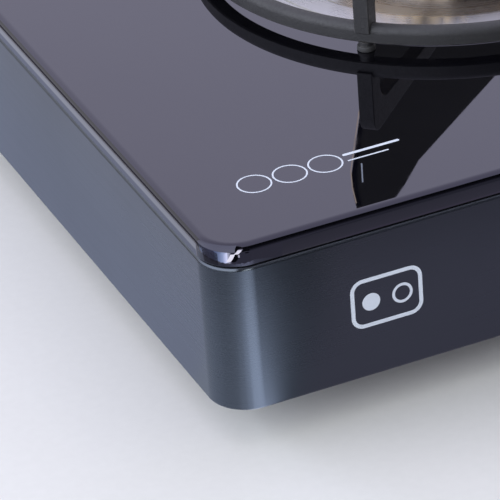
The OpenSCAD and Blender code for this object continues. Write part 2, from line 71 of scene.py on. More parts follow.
def middle(node):
    low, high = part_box(node)
    return (low + high) / 2


# ---- Node helpers ----

def put(tree, kind, inputs=None, **settings):
    # adds a node: a socket given as an input is linked, anything else is its value
    node = tree.nodes.new(kind)
    for key, value in settings.items():
        setattr(node, key, value)
    for key, value in (inputs or {}).items():
        if isinstance(value, bpy.types.NodeSocket):
            tree.links.new(value, node.inputs[key])
        else:
            node.inputs[key].default_value = value
    return node


def calc(tree, operation, *values):
    return put(tree, "ShaderNodeMath", dict(enumerate(values)), operation=operation).outputs[0]


def vectorCalc(tree, operation, *values):
    return put(tree, "ShaderNodeVectorMath", dict(enumerate(values)), operation=operation).outputs[0]


def mixValue(tree, mask, first, second):
    return put(tree, "ShaderNodeMix", {0: mask, 2: first, 3: second}).outputs[0]


def mixColour(tree, mask, first, second):
    return put(tree, "ShaderNodeMix", {0: mask, 6: first, 7: second}, data_type="RGBA").outputs[2]


def span(tree, value, low, high, newLow=0.0, newHigh=1.0):
    inputs = {"Value": value, "From Min": low, "From Max": high, "To Min": newLow, "To Max": newHigh}
    return put(tree, "ShaderNodeMapRange", inputs, clamp=True).outputs["Result"]


def noise(tree, place, scale, detail=3.0, roughness=0.5):
    inputs = {"Vector": place, "Scale": scale, "Detail": detail, "Roughness": roughness}
    return put(tree, "ShaderNodeTexNoise", inputs).outputs["Fac"]


def startGroup(name, treeKind, inputs, outputs):
    group = bpy.data.node_groups.new(name, treeKind)
    for label, kind, value in inputs:
        socket = group.interface.new_socket(label, in_out="INPUT", socket_type="NodeSocket" + kind)
        if value is not None:
            socket.default_value = value
    for label, kind in outputs:
        group.interface.new_socket(label, in_out="OUTPUT", socket_type="NodeSocket" + kind)
    return group, group.nodes.new("NodeGroupInput").outputs, group.nodes.new("NodeGroupOutput").inputs


# ---- Shader groups ----

def makeGrain():
    # fine grain and a slow cloud, stretched as the finish was worked
    group, given, result = startGroup(
        "surface grain", "ShaderNodeTree",
        [("Place", "Vector", None), ("Scale", "Float", 1000.0), ("Stretch", "Vector", (1, 1, 1)),
         ("Cloud", "Float", 20.0)],
        [("Fine", "Float"), ("Cloud", "Float")])
    stretched = vectorCalc(group, "MULTIPLY", given["Place"], given["Stretch"])
    group.links.new(noise(group, stretched, given["Scale"], 4.0, 0.6), result["Fine"])
    group.links.new(noise(group, given["Place"], given["Cloud"], 3.0), result["Cloud"])
    return group


def makeEdgeWear():
    # where handling has rubbed the edges: a rounded normal leaves the face's own
    group, given, result = startGroup(
        "edge wear", "ShaderNodeTree",
        [("Place", "Vector", None), ("Radius", "Float", 0.001), ("Amount", "Float", 0.5),
         ("Scale", "Float", 300.0)],
        [("Mask", "Float")])
    rounded = put(group, "ShaderNodeBevel", {"Radius": given["Radius"]}, samples=4).outputs[0]
    plain = put(group, "ShaderNodeNewGeometry").outputs["Normal"]
    alike = put(group, "ShaderNodeVectorMath", {0: rounded, 1: plain}, operation="DOT_PRODUCT")
    edge = span(group, alike.outputs["Value"], 0.985, 0.80)
    patchy = span(group, noise(group, given["Place"], given["Scale"], 4.0, 0.65), 0.35, 0.65)
    worn = calc(group, "MULTIPLY", edge, patchy)
    group.links.new(calc(group, "MULTIPLY", worn, given["Amount"]), result["Mask"])
    return group


def makeTurning():
    # rings round an upright axis, as turning or spinning leaves them
    group, given, result = startGroup(
        "turning rings", "ShaderNodeTree",
        [("Place", "Vector", None), ("Centre", "Vector", None), ("Scale", "Float", 3000.0)],
        [("Rings", "Float"), ("Radius", "Float")])
    offset = vectorCalc(group, "SUBTRACT", given["Place"], given["Centre"])
    parts = put(group, "ShaderNodeSeparateXYZ", {0: offset}).outputs
    flat = put(group, "ShaderNodeCombineXYZ", {"X": parts["X"], "Y": parts["Y"]}).outputs[0]
    radius = put(group, "ShaderNodeVectorMath", {0: flat}, operation="LENGTH").outputs["Value"]
    line = put(group, "ShaderNodeCombineXYZ", {"X": radius, "Y": parts["Z"]}).outputs[0]
    group.links.new(noise(group, line, given["Scale"], 3.0, 0.7), result["Rings"])
    group.links.new(radius, result["Radius"])
    return group


def makeDust():
    # dust that has settled on what faces up
    group, given, result = startGroup(
        "settled dust", "ShaderNodeTree",
        [("Place", "Vector", None), ("Amount", "Float", 0.3), ("Scale", "Float", 60.0)],
        [("Mask", "Float")])
    normal = put(group, "ShaderNodeNewGeometry").outputs["Normal"]
    up = span(group, put(group, "ShaderNodeSeparateXYZ", {0: normal}).outputs["Z"], 0.3, 1.0)
    specks = calc(group, "MULTIPLY", given["Scale"], 40.0)
    speckle = span(group, noise(group, given["Place"], specks, 2.0), 0.62, 0.75)
    drift = span(group, noise(group, given["Place"], given["Scale"], 4.0, 0.6), 0.3, 0.8)
    settled = calc(group, "MULTIPLY", calc(group, "ADD", drift, speckle), up)
    group.links.new(calc(group, "MULTIPLY", settled, given["Amount"]), result["Mask"])
    return group


groups = {"grain": makeGrain(), "wear": makeEdgeWear(), "turning": makeTurning(), "dust": makeDust()}


def useGroup(tree, name, **inputs):
    return put(tree, "ShaderNodeGroup", inputs, node_tree=groups[name]).outputs


# ---- Materials ----

def startMaterial(name, **values):
    material = bpy.data.materials.new(name)
    material.use_nodes = True
    shader = material.node_tree.nodes["Principled BSDF"]
    for label, value in values.items():
        shader.inputs[label.replace("_", " ")].default_value = value
    place = put(material.node_tree, "ShaderNodeTexCoord").outputs["Object"]
    return material, material.node_tree, shader, place


def finishMaterial(tree, shader, colour, rough, height, depth):
    tree.links.new(colour, shader.inputs["Base Color"])
    tree.links.new(rough, shader.inputs["Roughness"])
    bump = put(tree, "ShaderNodeBump", {"Height": height, "Distance": depth})
    tree.links.new(bump.outputs[0], shader.inputs["Normal"])


def grey(value):
    return (value, value, value, 1.0)


def makeSatinBlack():
    # black steel with a level hairline, which draws lights out upright on the corners
    material, tree, shader, place = startMaterial(
        "dark hairline steel", Metallic=1.0, Anisotropic=0.8, Anisotropic_Rotation=0.25)
    hair = useGroup(tree, "grain", Place=place, Scale=1.0, Stretch=(14, 14, 2600), Cloud=9.0)
    shade = mixColour(tree, hair["Fine"], (0.088, 0.100, 0.116, 1), (0.096, 0.109, 0.126, 1))
    rubbed = useGroup(tree, "wear", Place=place, Radius=1.6 * mm, Amount=0.3, Scale=300.0)["Mask"]
    shade = mixColour(tree, rubbed, shade, (0.26, 0.27, 0.29, 1))
    dust = useGroup(tree, "dust", Place=place, Amount=0.05, Scale=30.0)["Mask"]
    colour = mixColour(tree, dust, shade, (0.25, 0.25, 0.26, 1))
    rough = calc(
        tree, "ADD", span(tree, hair["Fine"], 0.2, 0.8, 0.27, 0.34),
        span(tree, hair["Cloud"], 0.3, 0.7, -0.03, 0.03))
    finishMaterial(tree, shader, colour, rough, hair["Fine"], 0.007 * mm)
    tangent = put(tree, "ShaderNodeTangent", direction_type="RADIAL", axis="Z").outputs[0]
    tree.links.new(tangent, shader.inputs["Tangent"])
    return material


def makeBlackGlass():
    # polished black-backed glass: faint wiping smears and a little dust
    material, tree, shader, place = startMaterial(
        "black glass", IOR=1.6, Specular_Tint=(0.80, 0.78, 1.0, 1.0))
    smear = useGroup(tree, "grain", Place=place, Scale=26.0, Stretch=(1.0, 2.6, 1.0), Cloud=6.0)
    dust = useGroup(tree, "dust", Place=place, Amount=0.004, Scale=22.0)["Mask"]
    colour = mixColour(tree, dust, (0.0012, 0.0012, 0.0020, 1), (0.5, 0.5, 0.5, 1))
    wiped = span(tree, smear["Fine"], 0.5, 0.75, 0.0, 0.014)
    rough = calc(tree, "ADD", calc(tree, "ADD", wiped, 0.004), calc(tree, "MULTIPLY", dust, 1.2))
    finishMaterial(tree, shader, colour, rough, smear["Cloud"], 0.002 * mm)
    return material


def makePrint(name, shade):
    material, tree, shader, place = startMaterial(name, IOR=1.5)
    grain = useGroup(tree, "grain", Place=place, Scale=2600.0, Cloud=120.0)
    colour = mixColour(tree, grain["Fine"], tuple(c * 0.86 for c in shade) + (1,), shade + (1,))
    rough = span(tree, grain["Cloud"], 0.3, 0.7, 0.30, 0.45)
    finishMaterial(tree, shader, colour, rough, grain["Fine"], 0.01 * mm)
    return material


def makeEnamel():
    # fired enamel: deep gloss over a faint orange peel, with stray heat bloom
    material, tree, shader, place = startMaterial(
        "black enamel", IOR=1.55, Coat_Weight=0.3, Coat_Roughness=0.08)
    peel = useGroup(tree, "grain", Place=place, Scale=420.0, Cloud=45.0)
    dust = useGroup(tree, "dust", Place=place, Amount=0.10, Scale=70.0)["Mask"]
    shade = mixColour(tree, peel["Cloud"], (0.006, 0.006, 0.007, 1), (0.016, 0.015, 0.015, 1))
    colour = mixColour(tree, dust, shade, (0.22, 0.21, 0.20, 1))
    rough = span(tree, peel["Cloud"], 0.25, 0.75, 0.16, 0.34)
    finishMaterial(tree, shader, colour, rough, peel["Fine"], 0.06 * mm)
    return material


def makeSupportEnamel():
    # matt enamel fired on steel, rubbed through along the edges where pans slide
    material, tree, shader, place = startMaterial("matt enamelled steel", IOR=1.5)
    sand = useGroup(tree, "grain", Place=place, Scale=900.0, Cloud=60.0)
    wear = useGroup(tree, "wear", Place=place, Radius=1.2 * mm, Amount=0.8, Scale=420.0)["Mask"]
    shade = mixColour(tree, sand["Cloud"], (0.010, 0.010, 0.011, 1), (0.026, 0.026, 0.028, 1))
    colour = mixColour(tree, wear, shade, (0.11, 0.105, 0.10, 1))
    rough = calc(
        tree, "SUBTRACT", span(tree, sand["Fine"], 0.3, 0.7, 0.42, 0.64),
        calc(tree, "MULTIPLY", wear, 0.18))
    height = calc(tree, "ADD", sand["Fine"], calc(tree, "MULTIPLY", sand["Cloud"], 1.5))
    finishMaterial(tree, shader, colour, rough, height, 0.16 * mm)
    return material


def makeMetal(name, dark, light, roughLow, roughHigh, scale=1500.0, depth=0.01, **values):
    # bare or plated metal: grain, slow colour drift and edges rubbed bright
    material, tree, shader, place = startMaterial(name, Metallic=1.0, **values)
    grain = useGroup(tree, "grain", Place=place, Scale=scale, Cloud=70.0)
    wear = useGroup(tree, "wear", Place=place, Radius=0.5 * mm, Amount=0.6, Scale=500.0)["Mask"]
    shade = mixColour(tree, span(tree, grain["Cloud"], 0.3, 0.7), dark + (1,), light + (1,))
    colour = mixColour(tree, wear, shade, tuple(min(1.0, c * 1.25) for c in light) + (1,))
    rough = mixValue(tree, grain["Fine"], roughLow, roughHigh)
    finishMaterial(tree, shader, colour, rough, grain["Fine"], depth * mm)
    return material


def makeTurned(name, centre, dark, light, roughLow, roughHigh, stain, stainRadius, depth, **values):
    # metal turned or spun round an upright axis, with heat stain out to a radius
    material, tree, shader, place = startMaterial(name, Metallic=1.0, **values)
    rings = useGroup(tree, "turning", Place=place, Centre=centre, Scale=1700.0)
    grain = useGroup(tree, "grain", Place=place, Scale=800.0, Cloud=38.0)
    shade = mixColour(tree, rings["Rings"], dark + (1,), light + (1,))
    heat = span(tree, rings["Radius"], stainRadius * 1.12, stainRadius * 0.92)
    heat = calc(tree, "MULTIPLY", heat, span(tree, grain["Cloud"], 0.25, 0.75, 0.15, 0.8))
    colour = mixColour(tree, heat, shade, stain + (1,))
    rough = calc(
        tree, "ADD", mixValue(tree, rings["Rings"], roughLow, roughHigh),
        span(tree, grain["Cloud"], 0.3, 0.7, -0.03, 0.05))
    finishMaterial(tree, shader, colour, rough, rings["Rings"], depth * mm)
    tangent = put(tree, "ShaderNodeTangent", direction_type="RADIAL", axis="Z").outputs[0]
    tree.links.new(tangent, shader.inputs["Tangent"])
    return material


def makeMoulded(name, dark, light, roughLow, roughHigh, scale, depth, wearColour, **values):
    # moulded plastic and rubber: spark-eroded grain, dulled by handling
    material, tree, shader, place = startMaterial(name, IOR=1.5, **values)
    grain = useGroup(tree, "grain", Place=place, Scale=scale, Cloud=90.0)
    wear = useGroup(tree, "wear", Place=place, Radius=0.8 * mm, Amount=0.4, Scale=350.0)["Mask"]
    shade = mixColour(tree, grain["Cloud"], dark + (1,), light + (1,))
    colour = mixColour(tree, wear, shade, wearColour + (1,))
    rough = mixValue(tree, grain["Fine"], roughLow, roughHigh)
    finishMaterial(tree, shader, colour, rough, grain["Fine"], depth * mm)
    return material


def makeGalvanised():
    material, tree, shader, place = startMaterial("galvanised sheet", Metallic=1.0)
    cells = put(tree, "ShaderNodeTexVoronoi", {"Vector": place, "Scale": 160.0}).outputs["Color"]
    tone = put(tree, "ShaderNodeSeparateColor", {0: cells}).outputs[0]
    grain = useGroup(tree, "grain", Place=place, Scale=900.0, Cloud=12.0)
    colour = mixColour(tree, tone, (0.38, 0.39, 0.41, 1), (0.56, 0.57, 0.59, 1))
    rough = calc(
        tree, "ADD", span(tree, tone, 0.0, 1.0, 0.34, 0.50),
        span(tree, grain["Cloud"], 0.3, 0.7, -0.04, 0.06))
    finishMaterial(tree, shader, colour, rough, grain["Fine"], 0.01 * mm)
    return material


finishes = {
    "black_steel": makeSatinBlack(),
    "black_glass": makeBlackGlass(),
    "enamel": makeEnamel(),
    "support_steel": makeSupportEnamel(),
    "zinc_sheet": makeGalvanised(),
    "zinc_screw": makeMetal("zinc plated screw", (0.55, 0.56, 0.58), (0.72, 0.73, 0.75), 0.24, 0.40),
    "aluminium_tube": makeMetal("drawn aluminium", (0.66, 0.67, 0.69), (0.80, 0.81, 0.83), 0.26, 0.42),
    "cast_aluminium": makeMetal(
        "cast aluminium", (0.42, 0.42, 0.43), (0.56, 0.56, 0.57), 0.48, 0.66, 700.0, 0.08),
    "brass": makeMetal("brass", (0.66, 0.47, 0.20), (0.83, 0.64, 0.32), 0.22, 0.38),
    "spring_steel": makeMetal("spring steel", (0.40, 0.41, 0.43), (0.60, 0.61, 0.63), 0.20, 0.34),
    "chrome": makeMetal("bright chrome", (0.74, 0.75, 0.78), (0.84, 0.85, 0.87), 0.05, 0.12),
    "silicone": makeMoulded(
        "black silicone", (0.018, 0.018, 0.019), (0.03, 0.03, 0.031), 0.55, 0.7, 1200.0, 0.03,
        (0.06, 0.06, 0.06)),
    "rubber": makeMoulded(
        "black rubber", (0.014, 0.014, 0.014), (0.028, 0.028, 0.028), 0.7, 0.88, 900.0, 0.06,
        (0.07, 0.07, 0.07)),
    "knob_plastic": makeMoulded(
        "moulded knob", (0.008, 0.008, 0.009), (0.014, 0.014, 0.016), 0.30, 0.44, 2200.0, 0.025,
        (0.035, 0.035, 0.037)),
}
for side in sides:
    centre = tuple(middle(side + "_burner_head"))
    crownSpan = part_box(side + "_burner_head")[1].x - middle(side + "_burner_head").x
    finishes[side + "_crown"] = makeTurned(
        side + " turned brass", centre, (0.60, 0.42, 0.17), (0.84, 0.65, 0.33), 0.20, 0.36,
        (0.24, 0.15, 0.10), crownSpan * 1.0, 0.03, Anisotropic=0.4, Anisotropic_Rotation=0.25)
    finishes[side + "_tray"] = makeTurned(
        side + " spun stainless", centre, (0.37, 0.37, 0.38), (0.51, 0.51, 0.52), 0.20, 0.32,
        (0.50, 0.42, 0.33), crownSpan * 1.15, 0.012, Anisotropic=0.6, Anisotropic_Rotation=0.25)
glassPrint = makePrint("pale glass print", (0.62, 0.68, 0.76))
panelPrint = makePrint("pale panel print", (0.66, 0.72, 0.82))
print("materials:", len(bpy.data.materials))


# ---- Mesh helpers ----

def arcPoints(centre, radius, start, end, steps):
    turns = [radians(start + (end - start) * k / steps) for k in range(steps + 1)]
    return [(centre[0] + radius * cos(a), centre[1] + radius * sin(a)) for a in turns]


def filleted(corners, closed=False, steps=5):
    # corners are (x, y) or (x, y, radius); each radius becomes an arc
    line = []
    count = len(corners)
    for i, corner in enumerate(corners):
        here = Vector(corner[:2])
        if len(corner) < 3 or (not closed and i in (0, count - 1)):
            line.append(tuple(here))
            continue
        back = (Vector(corners[i - 1][:2]) - here).normalized()
        ahead = (Vector(corners[(i + 1) % count][:2]) - here).normalized()
        half = back.angle(ahead) / 2
        centre = here + (back + ahead).normalized() * (corner[2] / sin(half))
        reach = corner[2] / tan(half)
        first = here + back * reach - centre
        last = here + ahead * reach - centre
        start = atan2(first.y, first.x)
        sweep = (atan2(last.y, last.x) - start + pi) % (2 * pi) - pi
        for k in range(steps + 1):
            turn = start + sweep * k / steps
            line.append((centre.x + corner[2] * cos(turn), centre.y + corner[2] * sin(turn)))
    return line


def thickened(line, thickness):
    # closed outline of a sheet that follows an open line
    points = [Vector(p) for p in line]
    near, far = [], []
    for i, point in enumerate(points):
        along = points[min(i + 1, len(points) - 1)] - points[max(i - 1, 0)]
        across = Vector((-along.y, along.x)).normalized() * thickness / 2
        near.append(tuple(point + across))
        far.append(tuple(point - across))
    return near + far[::-1]


def smoothed(mesh, sharp):
    # shaded smooth, with a sharp edge wherever faces meet at more than so many degrees
    mesh.shade_smooth()
    mesh.set_sharp_from_angle(angle=radians(sharp))
    return mesh


def meshOf(bm, name, sharp):
    mesh = bpy.data.meshes.new(name)
    bm.to_mesh(mesh)
    bm.free()
    return smoothed(mesh, sharp)


def finishMesh(bm, name, sharp=32):
    bmesh.ops.remove_doubles(bm, verts=bm.verts, dist=1e-7)
    bmesh.ops.recalc_face_normals(bm, faces=bm.faces)
    return meshOf(bm, name, sharp)


def joinRings(bm, rings, closed):
    pairs = list(zip(rings, rings[1:]))
    if closed:
        pairs.append((rings[-1], rings[0]))
    for low, high in pairs:
        count = max(len(low), len(high))
        for i in range(count):
            j = (i + 1) % count
            corners = [low[i % len(low)], low[j % len(low)], high[j % len(high)], high[i % len(high)]]
            corners = [v for k, v in enumerate(corners) if v not in corners[:k]]
            if len(corners) > 2:
                bm.faces.new(corners)


def lathe(name, outline, centre, steps, closed=False, axis=None):
    # turns an outline of (radius, height) round an upright axis, or one laid over by a matrix
    bm = bmesh.new()
    rings = []
    for radius, height in outline:
        if radius < 1e-6:
            rings.append([bm.verts.new((0, 0, height))])
        else:
            turns = [2 * pi * i / steps for i in range(steps)]
            rings.append([bm.verts.new((radius * cos(a), radius * sin(a), height)) for a in turns])
    joinRings(bm, rings, closed)
    bm.transform(Matrix.Translation(centre) @ (axis or Matrix.Identity(4)))
    return finishMesh(bm, name)


def roundedRing(bm, width, depth, radius, z, steps):
    ring = []
    for quarter, (sx, sy) in enumerate(((1, 1), (-1, 1), (-1, -1), (1, -1))):
        for k in range(steps + 1):
            turn = (quarter + k / steps) * pi / 2
            x = sx * (width / 2 - radius) + radius * cos(turn)
            y = sy * (depth / 2 - radius) + radius * sin(turn)
            ring.append(bm.verts.new((x, y, z)))
    return ring


def capRings(bm, rings, closed=False):
    # joins rings into a skin, with a face over each end unless the last ring meets the first
    joinRings(bm, rings, closed)
    if not closed:
        bm.faces.new(rings[0])
        bm.faces.new(rings[-1])


def sweepRound(name, section, width, depth, corner, closed, steps):
    # carries a section of (inset, z) round a rounded rectangle
    smallest = 0.3 * mm
    bm = bmesh.new()
    rings = []
    for inset, z in section:
        radius = max(corner - inset, smallest)
        rings.append(roundedRing(bm, width - 2 * inset, depth - 2 * inset, radius, z, steps))
    capRings(bm, rings, closed)
    return finishMesh(bm, name)


def filled(bm, outline, height):
    # a plate of an outline of (x, y), from z 0 up to a height
    capRings(bm, [[bm.verts.new((x, y, z)) for x, y in outline] for z in (0, height)])


def plainMesh(bench):
    # the mesh that a bench object comes to; the bench itself goes
    bpy.context.view_layer.update()
    made = bpy.data.meshes.new_from_object(bench.evaluated_get(bpy.context.evaluated_depsgraph_get()))
    bpy.data.objects.remove(bench)
    return made


def worked(mesh, *steps):
    # the mesh after a stack of modifiers, each a type and its settings
    bench = bpy.data.objects.new("bench", mesh)
    scene.collection.objects.link(bench)
    for kind, settings in steps:
        modifier = bench.modifiers.new(kind.lower(), kind)
        for key, value in settings.items():
            setattr(modifier, key, value)
    return plainMesh(bench)


def cutBy(mesh, tool, **settings):
    # the mesh less what a tool's mesh takes away
    cutter = bpy.data.objects.new("cutter", tool)
    scene.collection.objects.link(cutter)
    how = {"object": cutter, "operation": "DIFFERENCE", "solver": "EXACT", **settings}
    made = worked(mesh, ("BOOLEAN", how))
    bpy.data.objects.remove(cutter)
    return made


def softEdged(mesh, width, segments):
    return worked(mesh, ("BEVEL", {
        "width": width, "segments": segments, "limit_method": "ANGLE", "angle_limit": radians(50)}))


def grown(tree, mesh, **values):
    # the plain mesh that a Geometry Nodes tree grows from its named inputs
    bench = bpy.data.objects.new("bench", mesh or bpy.data.meshes.new("bench"))
    scene.collection.objects.link(bench)
    modifier = bench.modifiers.new("nodes", "NODES")
    modifier.node_group = tree
    for item in tree.interface.items_tree:
        label = item.name.replace(" ", "_")
        if item.item_type == "SOCKET" and item.in_out == "INPUT" and label in values:
            modifier[item.identifier] = values[label]
    return plainMesh(bench)


def ringed(model, body, centre, count, finish):
    # a model's mesh set evenly round an upright axis, with the body that it stands on
    tooth = bpy.data.objects.new("tooth", model)
    scene.collection.objects.link(tooth)
    place = (centre.x, centre.y, 0.0)
    made = grown(toothRing, body, Tooth=tooth, Centre=place, Count=count, Finish=finish)
    bpy.data.objects.remove(tooth)
    return made


def addPiece(name, mesh, body, slot, *nodes, material=None):
    material = material or finishes[slot]
    mesh.materials.clear()
    mesh.materials.append(material)
    mesh.polygons.foreach_set("material_index", [0] * len(mesh.polygons))
    piece = bpy.data.objects.new(name, mesh)
    scene.collection.objects.link(piece)
    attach(piece, body)
    if nodes:
        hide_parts(*nodes)
    return piece


def merged(node):
    # a CAD node's mesh with its doubled points merged
    bm = bmesh.new()
    bm.from_mesh(frame["nodes"][node].data)
    bmesh.ops.remove_doubles(bm, verts=bm.verts, dist=1e-6)
    return bm


def cadCopy(node):
    return meshOf(merged(node), node + " copy", 30)


def islandBoxes(node):
    # the box of each loose solid in a node
    bm = merged(node)
    left = set(bm.verts)
    boxes = []
    while left:
        edge = [left.pop()]
        found = list(edge)
        while edge:
            near = [e.other_vert(v) for v in edge for e in v.link_edges]
            edge = [v for v in set(near) if v in left]
            left.difference_update(edge)
            found.extend(edge)
        lows = Vector([min(v.co[k] for v in found) for k in range(3)])
        highs = Vector([max(v.co[k] for v in found) for k in range(3)])
        boxes.append((lows, highs))
    bm.free()
    return sorted(boxes, key=lambda box: tuple(box[0]))


def softened(node, voxel, passes):
    # a casting or moulding with every edge a little rounded: the CAD solid remeshed and relaxed
    return worked(
        cadCopy(node),
        ("REMESH", {"mode": "VOXEL", "voxel_size": voxel, "use_smooth_shade": True}),
        ("SMOOTH", {"factor": 0.5, "iterations": passes}))


keepFlat = ("WEIGHTED_NORMAL", {"weight": 60, "keep_sharp": True})


# ---- Geometry Nodes trees ----

def joined(tree, *parts):
    both = put(tree, "GeometryNodeJoinGeometry")
    for part in parts:
        tree.links.new(part, both.inputs[0])
    return both.outputs[0]


def endTree(tree, result, geometry, finish):
    # makes the instances real, as the export needs, and gives all of it one finish
    real = put(tree, "GeometryNodeRealizeInstances", {"Geometry": geometry}).outputs[0]
    done = put(tree, "GeometryNodeSetMaterial", {"Geometry": real, "Material": finish}).outputs[0]
    tree.links.new(done, result[0])


def makeSlotRows():
    # cuts rows of round-ended slots through a wall that faces along Y
    tree, given, result = startGroup(
        "slot rows", "GeometryNodeTree",
        [("Wall", "Geometry", None), ("Middle", "Vector", None), ("Spread", "Float", 0.3),
         ("Count", "Int", 9), ("Pitch", "Float", 0.012), ("Length", "Float", 0.026),
         ("Width", "Float", 0.004), ("Depth", "Float", 0.01)],
        [("Geometry", "Geometry")])
    outline = put(
        tree, "GeometryNodeCurvePrimitiveQuadrilateral",
        {"Width": given["Width"], "Height": given["Length"]})
    roundEnd = calc(tree, "MULTIPLY", given["Width"], 0.499)
    soft = put(
        tree, "GeometryNodeFilletCurve", {"Curve": outline.outputs[0], "Radius": roundEnd, "Count": 10},
        mode="POLY")
    face = put(tree, "GeometryNodeFillCurve", {"Curve": soft.outputs[0]}, mode="NGONS").outputs[0]
    solid = put(tree, "GeometryNodeExtrudeMesh", {"Mesh": face, "Offset Scale": given["Depth"]})
    back = put(tree, "GeometryNodeFlipFaces", {"Mesh": face}).outputs[0]
    shell = joined(tree, solid.outputs["Mesh"], back)
    whole = put(tree, "GeometryNodeMergeByDistance", {"Geometry": shell, "Distance": 1e-6}).outputs[0]
    sunk = put(tree, "ShaderNodeCombineXYZ", {"Z": calc(tree, "MULTIPLY", given["Depth"], -0.5)}).outputs[0]
    centred = put(tree, "GeometryNodeTransform", {"Geometry": whole, "Translation": sunk}).outputs[0]
    upright = put(tree, "GeometryNodeTransform", {"Geometry": centred, "Rotation": (pi / 2, 0, 0)}).outputs[0]
    step = put(tree, "ShaderNodeCombineXYZ", {"X": given["Pitch"]}).outputs[0]
    reach = calc(
        tree, "MULTIPLY", calc(tree, "SUBTRACT", given["Count"], 1.0),
        calc(tree, "MULTIPLY", given["Pitch"], -0.5))
    rows = []
    for way in (-0.5, 0.5):
        first = calc(tree, "ADD", calc(tree, "MULTIPLY", given["Spread"], way), reach)
        start = vectorCalc(
            tree, "ADD", put(tree, "ShaderNodeCombineXYZ", {"X": first}).outputs[0], given["Middle"])
        inputs = {"Count": given["Count"], "Start Location": start, "Offset": step}
        rows.append(put(tree, "GeometryNodeMeshLine", inputs).outputs[0])
    inputs = {"Points": joined(tree, *rows), "Instance": upright}
    placed = put(tree, "GeometryNodeInstanceOnPoints", inputs).outputs[0]
    cutters = put(tree, "GeometryNodeRealizeInstances", {"Geometry": placed}).outputs[0]
    cut = put(
        tree, "GeometryNodeMeshBoolean", {"Mesh 1": given["Wall"], "Mesh 2": cutters},
        operation="DIFFERENCE", solver="EXACT")
    tree.links.new(cut.outputs[0], result[0])
    return tree


def makeScatter():
    # stands one small piece on every point, turned about its own axis at random from a fixed seed
    tree, given, result = startGroup(
        "piece on points", "GeometryNodeTree",
        [("Points", "Geometry", None), ("Piece", "Object", None), ("Lay", "Vector", None), ("Seed", "Int", 3),
         ("Finish", "Material", None)],
        [("Geometry", "Geometry")])
    source = put(tree, "GeometryNodeObjectInfo", {"Object": given["Piece"]}).outputs["Geometry"]
    turn = put(
        tree, "FunctionNodeRandomValue", {"Min": 0.0, "Max": 2 * pi, "Seed": given["Seed"]},
        data_type="FLOAT")
    values = [socket for socket in turn.outputs if socket.enabled]
    own = put(tree, "ShaderNodeCombineXYZ", {"Z": values[0]}).outputs[0]
    ownTurn = put(tree, "FunctionNodeEulerToRotation", {0: own}).outputs[0]
    lay = put(tree, "FunctionNodeEulerToRotation", {0: given["Lay"]}).outputs[0]
    both = put(tree, "FunctionNodeRotateRotation", {0: ownTurn, 1: lay}).outputs[0]
    inputs = {"Points": given["Points"], "Instance": source, "Rotation": both}
    placed = put(tree, "GeometryNodeInstanceOnPoints", inputs).outputs[0]
    endTree(tree, result, placed, given["Finish"])
    return tree


def makeToothRing():
    # repeats a tooth evenly round a body turned on the same axis
    tree, given, result = startGroup(
        "tooth ring", "GeometryNodeTree",
        [("Body", "Geometry", None), ("Tooth", "Object", None), ("Centre", "Vector", None),
         ("Count", "Int", 40), ("Finish", "Material", None)],
        [("Geometry", "Geometry")])
    inputs = {"Count": given["Count"], "Start Location": given["Centre"], "Offset": (0.0, 0.0, 0.0)}
    points = put(tree, "GeometryNodeMeshLine", inputs).outputs[0]
    step = calc(tree, "DIVIDE", 2 * pi, given["Count"])
    turn = calc(tree, "MULTIPLY", put(tree, "GeometryNodeInputIndex").outputs[0], step)
    angle = put(tree, "ShaderNodeCombineXYZ", {"Z": turn}).outputs[0]
    rotation = put(tree, "FunctionNodeEulerToRotation", {0: angle}).outputs[0]
    source = put(tree, "GeometryNodeObjectInfo", {"Object": given["Tooth"]}).outputs["Geometry"]
    inputs = {"Points": points, "Instance": source, "Rotation": rotation}
    ring = put(tree, "GeometryNodeInstanceOnPoints", inputs).outputs[0]
    endTree(tree, result, joined(tree, given["Body"], ring), given["Finish"])
    return tree


def makeHelix():
    # a wire or thread of diamond or round section wound on a helix
    tree, given, result = startGroup(
        "helix", "GeometryNodeTree",
        [("Body", "Geometry", None), ("Radius", "Float", 0.008), ("Turns", "Float", 10.0),
         ("Length", "Float", 0.02), ("Section", "Float", 0.0006), ("Sides", "Int", 4),
         ("Lay", "Vector", None), ("Start", "Vector", None), ("Finish", "Material", None)],
        [("Geometry", "Geometry")])
    inputs = {"Resolution": 48, "Rotations": given["Turns"], "Start Radius": given["Radius"],
              "End Radius": given["Radius"], "Height": given["Length"]}
    path = put(tree, "GeometryNodeCurveSpiral", inputs).outputs[0]
    section = put(
        tree, "GeometryNodeCurvePrimitiveCircle",
        {"Resolution": given["Sides"], "Radius": given["Section"]})
    wire = put(
        tree, "GeometryNodeCurveToMesh",
        {"Curve": path, "Profile Curve": section.outputs[0], "Fill Caps": True})
    inputs = {"Geometry": wire.outputs[0], "Translation": given["Start"], "Rotation": given["Lay"]}
    laid = put(tree, "GeometryNodeTransform", inputs).outputs[0]
    endTree(tree, result, joined(tree, given["Body"], laid), given["Finish"])
    return tree


slotRows = makeSlotRows()
scatter = makeScatter()
toothRing = makeToothRing()
helix = makeHelix()

# ---- Camera and light ----

corner = Vector((cadBox[0].x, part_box("glass_top")[0].y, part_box("glass_top")[1].z))
shot = {
    "aim": corner + Vector((12.4, -3.1, 0)) * mm,
    "azimuth": radians(21.91), "elevation": radians(30.58), "roll": radians(4.53),
    "distance": 1343 * mm, "lens": 288.0, "sensor": 36.0,
}


